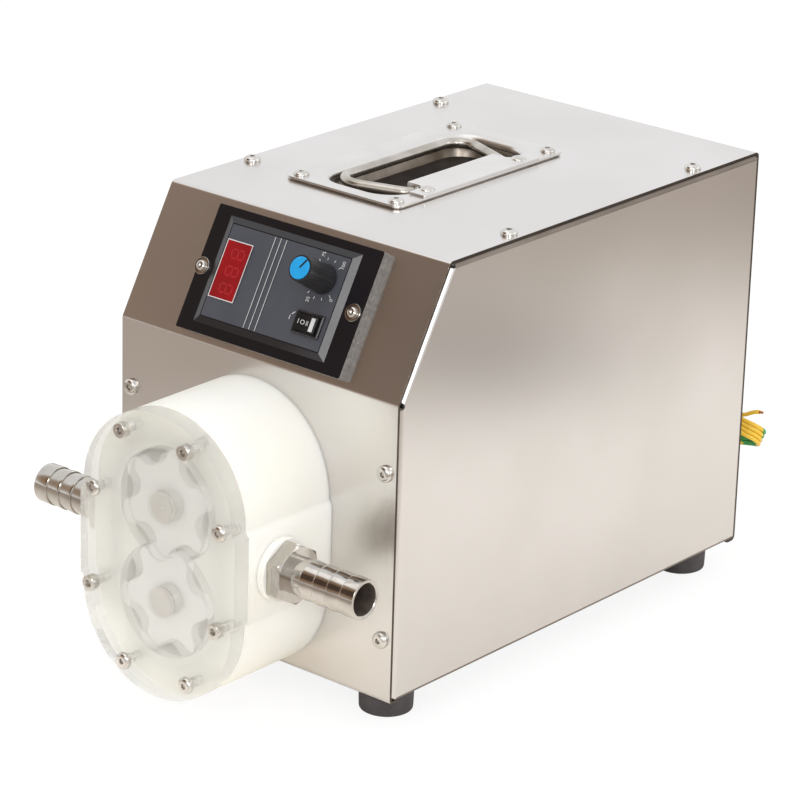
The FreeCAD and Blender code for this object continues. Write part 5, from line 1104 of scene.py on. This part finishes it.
@dataclass
class HoseTail:
    """Hexagon hose tail with four barbs, turned from one bar; sizes in housing millimetres."""

    node_name: str
    side: int
    seat_at: Triple = (60.0, -41.3, 79.3)
    points: int = 96
    thread_r: float = 13.2
    thread_from: float = -20.5
    thread_chamfer: float = 0.4
    hex_af: float = 30.0
    hex_len: float = 9.0
    foot_crown: Pair = (0.5, 0.5)
    crown: Pair = (2.2, 1.5)
    neck_r: float = 10.3
    neck_len: float = 9.0
    barbs: int = 4
    barb_pitch: float = 9.2
    barb_r: float = 11.0
    barb_land: float = 1.2
    bore_r: float = 8.7
    mouth: float = 0.6

    def crowned(self, reach: float) -> np.ndarray:
        """The hexagon cut off by a cone: at each angle the smaller of its own radius and the cone's."""
        outline = hexagon(self.points, self.hex_af)
        return outline * np.minimum(1.0, reach / np.linalg.norm(outline, axis=1, keepdims=True))

    def rows(self) -> tuple[list[np.ndarray], np.ndarray]:
        """Outlines and heights from the thread over the hexagon and the barbs back through the bore."""
        corner = self.hex_af / math.sqrt(3.0)
        cut, rise = self.foot_crown
        drop, fall = self.crown
        thread = [(self.bore_r, self.thread_from), (self.thread_r - self.thread_chamfer, self.thread_from),
                  (self.thread_r, self.thread_from + self.thread_chamfer), (self.thread_r, 0.0)]
        flats = [(corner - cut * (1.0 - share), rise * share) for share in (0.0, 0.35, 0.7, 1.0)]
        flats += [(corner + 0.3 - (drop + 0.3) * share, self.hex_len - fall + fall * share)
                  for share in np.linspace(0.0, 1.0, 7)]
        start = self.hex_len + self.neck_len
        line = [(self.neck_r, self.hex_len, 0.0), (self.neck_r, start, 0.0)]
        for k in range(self.barbs):
            foot = start + k * self.barb_pitch
            line += [(self.barb_r, foot, 0.3), (self.barb_r, foot + self.barb_land, 0.35),
                     (self.neck_r, foot + self.barb_pitch, 0.0)]
        tip = start + self.barbs * self.barb_pitch
        line[-1] = (self.neck_r + 0.5, tip, 0.35)
        line += [(self.bore_r + self.mouth, tip, 0.12), (self.bore_r, tip - self.mouth, 0.1),
                 (self.bore_r, self.thread_from, 0.0)]
        barbed = rounded_profile(line)
        outlines = (circles([r for r, _ in thread], self.points) + [self.crowned(r) for r, _ in flats]
                    + circles(barbed[:, 0], self.points))
        return outlines, np.concatenate([[h for _, h in thread + flats], barbed[:, 1]])

    def build(self) -> None:
        """The tail on its own seat, its way out along the port's axis."""
        x, y, z = self.seat_at
        side = float(self.side)
        seat = Seat((side * x, y, z), (0.0, side, 0.0), (0.0, 0.0, 1.0), (side, 0.0, 0.0))
        tail = Piece(self.node_name + "_turned", FITTING_STEEL, (self.node_name,), "fitting_steel").add(
            loft(rings_on(seat, (0.0, 0.0), *self.rows()), capped=False), crease=28.0)
        # painted shade inside the tail's bore
        part_finish(tail, TAIL_BORE_PAINTED_SHADE, seat,
                    lambda at, way: np.hypot(at[:, 0], at[:, 1]) < self.bore_r + 0.05)


@dataclass
class Controller:
    """Speed controller on the slope: printed face, window, knob and switch.

    Sizes are millimetres on the slope's seat: x across, u up the slope and n out of it.
    A mark on the face or the rocker is placed from the switch's middle.
    """

    flange_middle: Pair = (1.8, 38.85)
    flange_half: Pair = (57.0, 34.0)
    face_n: float = 7.5
    ink: float = 0.04
    window_x: Pair = (-40.0, -22.9)
    window_u: Pair = (24.7, 56.4)
    window_line: float = 0.5
    digit_x: float = -30.4
    digit_u: Triple = (30.6, 40.2, 49.8)
    digit_tall: float = 8.6
    digit_wide: float = 4.8
    digit_lift: float = 0.01
    segment: float = 1.05
    segment_gap: float = 0.25
    rule_x: Triple = (-10.0, -6.1, -2.1)
    rule_u: Pair = (13.7, 64.9)
    rule_w: float = 0.34
    knob: Pair = (29.8, 50.9)
    pointer_angle: float = 58.0
    pointer_r: Pair = (0.3, 7.3)
    pointer_w: float = 1.5
    pointer_n: Pair = (28.8, 29.45)
    scale_from: float = 45.0
    scale_sweep: float = 270.0
    scale_r: float = 10.2
    ticks: int = 10
    tick: float = 1.5
    long_tick: float = 2.1
    long_every: int = 5
    tick_w: float = 0.4
    numbers: tuple[str, ...] = ("100", "75", "50", "25", "0")
    number_r: float = 13.6
    number_size: float = 3.1
    switch: Pair = (30.4, 25.8)
    face_marks: tuple[tuple[Pair, Pair], ...] = (((-12.5, 2.6), (-10.7, 4.4)), ((-13.2, -0.4), (-13.2, 2.0)))
    face_mark_w: float = 0.45
    rocker_marks: tuple[tuple[str, float], ...] = (("I", -5.2), ("O", -2.6), ("II", 0.3))
    rocker_mark_size: float = 3.6
    rocker_painted_highlight: tuple[Pair, Pair] = ((2.6, 5.6), (-3.7, 3.7))
    rocker_mid_n: float = 8.7
    rocker_rise: float = 0.1739
    flange_n: float = 5.0
    screw_x: Pair = (-53.0, 54.2)
    screw_u: float = 38.8
    washer_r: float = 4.9
    washer_bore_r: float = 2.05
    washer_t: float = 1.1
    dish_wider: float = 0.5
    dish_deep: float = 0.12

    def figure(self, at_u: float) -> list[Surface]:
        """Seven bars of one figure, its top toward the left edge of the panel."""
        heights = (self.face_n + self.digit_lift, self.face_n + self.ink)
        half_t, half_w = self.digit_tall / 2.0, self.digit_wide / 2.0
        x, gap = self.digit_x, self.segment_gap
        runs = [((x + level, at_u - half_w + gap), (x + level, at_u + half_w - gap))
                for level in (-half_t, 0.0, half_t)]
        runs += [((x + low + gap, at_u + side), (x + high - gap, at_u + side)) for side in (-half_w, half_w)
                 for low, high in ((-half_t, 0.0), (0.0, half_t))]
        return [bar(SLOPE, start, end, self.segment, heights, self.segment / 2.0) for start, end in runs]

    def around(self, centre: Pair, degrees: float, *radii: float) -> list[Pair]:
        """Points at one angle and several distances from a centre."""
        a = math.radians(degrees)
        return [(centre[0] + r * math.cos(a), centre[1] + r * math.sin(a)) for r in radii]

    def print_face(self) -> None:
        """White lines, window frame, scale and marks of the face, and the window's unlit figures."""
        heights = (self.face_n, self.face_n + self.ink)
        ink = [thin_frame(SLOPE, self.window_x, self.window_u, self.window_line, heights)]
        half = self.rule_w / 2.0
        ink += [patch(SLOPE, (x - half, x + half), self.rule_u, heights) for x in self.rule_x]
        lines = []
        for k in range(self.ticks + 1):
            length = self.long_tick if k % self.long_every == 0 else self.tick
            turn = self.scale_from + self.scale_sweep * k / self.ticks
            lines.append((*self.around(self.knob, turn, self.scale_r, self.scale_r + length), self.tick_w))
        for start, end in self.face_marks:
            lines.append((np.add(self.switch, start), np.add(self.switch, end), self.face_mark_w))
        ink += [bar(SLOPE, start, end, width, heights) for start, end, width in lines]
        for k, text in enumerate(self.numbers):
            turn = self.scale_from + self.scale_sweep * k / (len(self.numbers) - 1)
            at = self.around(self.knob, turn, self.number_r)[0]
            ink.append(lettering(SLOPE, text, self.number_size, at, math.pi / 2, self.face_n))
        Piece("face_printing", INK_WHITE).add(*ink)
        Piece("window_figures", DIM_SEGMENT).add(*[b for u in self.digit_u for b in self.figure(u)])

    def print_rocker(self) -> None:
        """Marks I, O, II and a painted highlight, a white bar in the ink, on the rocker's shallow V.

        Each point is lifted by the V's height there: the rise times its distance from
        the middle line.
        """
        low = self.rocker_mid_n
        x, u = self.switch
        marks = [lettering(SLOPE, text, self.rocker_mark_size, (x + shift, u), 0.0, low)
                 for text, shift in self.rocker_marks]
        # the white bar is a painted highlight on the rocker's tilted end, drawn in the printing ink
        across, along = self.rocker_painted_highlight
        marks.append(patch(SLOPE, (x + across[0], x + across[1]), (u + along[0], u + along[1]),
                           (low, low + self.ink)))
        for mark in marks:
            lift = np.abs(mark.points[:, 0] - x) * self.rocker_rise
            mark.points = mark.points + lift[:, None] * np.array(SLOPE.out)
        Piece("rocker_marks", INK_WHITE, body="rocker").add(*marks)

    def add_screws(self) -> None:
        """The two screws on their washers."""
        low, top = self.flange_n, self.flange_n + self.washer_t
        dished = top - self.dish_deep
        bore, rim = self.washer_bore_r, self.washer_r
        line = rounded_profile([(bore, low, 0.0), (rim, low, 0.12), (rim, top, 0.45),
                                (PANEL_SCREW.radius + self.dish_wider, dished, 0.3), (bore, dished, 0.0)])
        places = [(x, self.screw_u) for x in self.screw_x]
        Piece("panel_screw_heads", SCREW_STEEL, ("panel_screws",), "screw_steel").add(
            *[PANEL_SCREW.at(SLOPE, place, top) for place in places])
        Piece("panel_washer_rings", FITTING_STEEL, ("panel_washers",), "screw_steel").add(
            *[turned(SLOPE, place, line) for place in places])

    def build(self) -> None:
        """Frame with sawn flange edges, switch, printing, knob and screws."""
        whole = Piece("controller_frame", FRAME_PLASTIC, ("panel_frame",), "frame_plastic").soften(
            0.2, crease=20.0)
        part_finish(whole, SAWN_EDGE, SLOPE, lambda at, way: (np.abs(way[:, 2]) < 0.1)
                    & np.any(np.abs(at[:, :2] - self.flange_middle) > self.flange_half, axis=1))
        Piece("switch_housing", SWITCH_BLACK, ("switch_body",), "switch_plastic").soften(0.15)
        Piece("switch_rocker_cap", SWITCH_BLACK, ("switch_rocker",), "switch_plastic", "rocker").soften(0.3)
        self.print_face()
        self.print_rocker()
        Piece("knob_shell", KNOB_BLACK, ("speed_knob",), "knob_plastic", "knob").soften(0.18)
        Piece("knob_disc", CAP_BLUE, ("knob_cap",), "cap_blue", "knob").soften(0.12)
        start, end = self.around(self.knob, self.pointer_angle, *self.pointer_r)
        pointer = bar(SLOPE, start, end, self.pointer_w, self.pointer_n)
        Piece("knob_pointer", KNOB_BLACK, body="knob").add(pointer)
        self.add_screws()


@dataclass
class Handle:
    """Low rivets, the strip over the pivot, and the pressed plate with its cup's rim rounded.

    The bail and its saddles keep their CAD shapes. Sizes are in housing millimetres.
    """

    top_z: float = 241.7
    rivet_x: float = 17.2
    rivet_y: Pair = (117.1, 196.3)
    rivet_r: float = 4.4
    rivet_h: float = 1.5
    rivet_shank: Pair = (2.0, 3.2)
    cup_shade_below: float = -0.3
    floor_shade_below: float = -0.9
    foot_shadow_below: float = 0.85
    rim_low: Triple = (-47.0, 96.0, 240.3)
    rim_high: Triple = (13.5, 218.0, 240.7)
    rim_round: float = 3.0

    def build(self) -> None:
        """A rivet's head is its radius times the cosine and its height times the sine of one angle."""
        seat = replace(BASE, origin=(0.0, 0.0, self.top_z))
        t = np.linspace(0.0, math.pi / 2, 9)
        head = np.stack([self.rivet_r * np.cos(t), self.rivet_h * np.sin(t)], axis=1)
        r, deep = self.rivet_shank
        line = np.vstack([[(r, -deep), (r, -0.01), (self.rivet_r - 0.05, 0.0)], head])
        Piece("rivet_heads", SCREW_STEEL, ("handle_rivets",), "screw_steel").add(
            *[turned(seat, (self.rivet_x, y), line) for y in self.rivet_y])
        Piece("pivot_strip", PLATE_STAINLESS, ("handle_strip",), "handle_steel").soften(0.25)
        plate = Piece("pressed_plate", PLATE_STAINLESS, ("handle_plate",), "handle_steel").soften(0.15)
        # painted shade on the cup's walls, and a painted shadow on the sides of the foot under the plate's
        # edge
        part_finish(plate, CUP_AND_GAP_PAINTED_SHADE, TOP, lambda at, way: (at[:, 2] < self.cup_shade_below)
                    | ((at[:, 2] < self.foot_shadow_below) & (np.abs(way[:, 2]) < 0.5)))
        round_rim(plate, self.rim_low, self.rim_high, self.rim_round)
        # painted shade, darker still, on the cup's floor
        part_finish(plate, CUP_FLOOR_PAINTED_SHADE, TOP, lambda at, way: (at[:, 2] < self.floor_shade_below) & (way[:, 2] > 0.6))


@dataclass
class Feet:
    """Four rubber feet, each a low cone with rounded rims and a recess for its screw."""

    x: float = 76.5
    y: Pair = (23.5, 289.5)
    top_r: float = 15.2
    sole_r: float = 14.7
    top_z: float = 1.5
    sole_z: float = -SOLE_DEPTH
    recess_r: float = 6.5
    recess_h: float = 8.0

    def build(self) -> None:
        """Profile from the screw's recess over the sole and the flank to the top."""
        bore, deep = M5_R + 0.05, self.sole_z + self.recess_h
        line = rounded_profile([(bore, deep, 0.0), (self.recess_r, deep, 0.2),
                                (self.recess_r, self.sole_z, 0.5), (self.sole_r, self.sole_z, 1.6),
                                (self.top_r, self.top_z, 0.5), (bore, self.top_z, 0.0)], steps=5)
        Piece("rubber_feet", FOOT_RUBBER, ("feet",), "foot_rubber").add(
            *[turned(BASE, (x, y), line, count=64) for x in (-self.x, self.x) for y in self.y])


@dataclass
class Housing:
    """The case's two folded sheets: satin flats, folds behind the slope with a painted dark reflection, and
    cut ends with painted shade.
    """

    edge: float = 0.06
    fold_slant: Pair = (0.06, 0.985)
    slope_end: float = 2.5

    def build(self) -> None:
        """Faces are picked by how far they turn sideways.

        A fold's faces turn neither straight sideways nor along the box; only those behind
        the slope get the painted dark reflection. The wrap's cut ends get painted shade, except
        along the slope, where they keep the satin finish.
        """
        chassis = Piece("folded_chassis", SHEET_STEEL, ("chassis",), "housing_steel").soften(self.edge)
        # painted dark reflection on the chassis folds behind the slope
        part_finish(chassis, FOLD_PAINTED_DARK_REFLECTION, BASE, lambda at, way: (np.abs(way[:, 0]) > self.fold_slant[0])
                    & (np.abs(way[:, 0]) < self.fold_slant[1]) & (at[:, 1] > SLOPE_BACK))
        wrap = Piece("folded_wrap", SHEET_STEEL, ("wrap",), "housing_steel").soften(self.edge)
        # painted shade on the wrap's cut ends, except along the slope
        part_finish(wrap, CUT_END_PAINTED_SHADE, BASE, lambda at, way: (np.abs(way[:, 0]) > 0.9)
                    & ((at[:, 2] > HOUSING_H - self.slope_end) | (at[:, 2] < FRONT_H)))


@dataclass
class PumpHead:
    """Clear cover, body and white washers; the gears and shafts keep their CAD shapes."""

    cover_back_y: float = -64.7
    cover_gap: float = 0.06

    def build(self) -> None:
        """The cover stands a hair off the body, so that light goes through both faces."""
        Piece("clear_cover", CLEAR_COVER, ("pump_cover",), "clear_cover").soften(
            0.35, moved=(self.cover_back_y, -self.cover_gap))
        Piece("pump_block", PUMP_WHITE, ("pump_body",), "pump_white").soften(0.3, crease=60.0)
        Piece("port_washer_rings", WHITE_WASHER, ("port_washers",), "gear_white").soften(0.4)


def dress_staying_nodes() -> None:
    """Gives each CAD node that stays its real finish."""
    for finish, names in STAYING_NODES.items():
        for name in names:
            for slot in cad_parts[name].material_slots:
                slot.material = finish.build()
    LOG.info("finishes: %d nodes dressed", sum(len(names) for names in STAYING_NODES.values()))


def main() -> None:
    """Builds the scene in order."""
    logging.basicConfig(level=logging.INFO, format="%(message)s")
    Stage().build()
    EarthLead().build()
    dress_staying_nodes()
    for maker in (Housing(), Fasteners(), PumpHead(), HoseTail("hose_tail_left", -1),
                  HoseTail("hose_tail_right", 1), Controller(), Handle(), Feet()):
        maker.build()
    bpy.context.scene.view_settings.view_transform = "Standard"


if __name__ == "__main__":
    main()
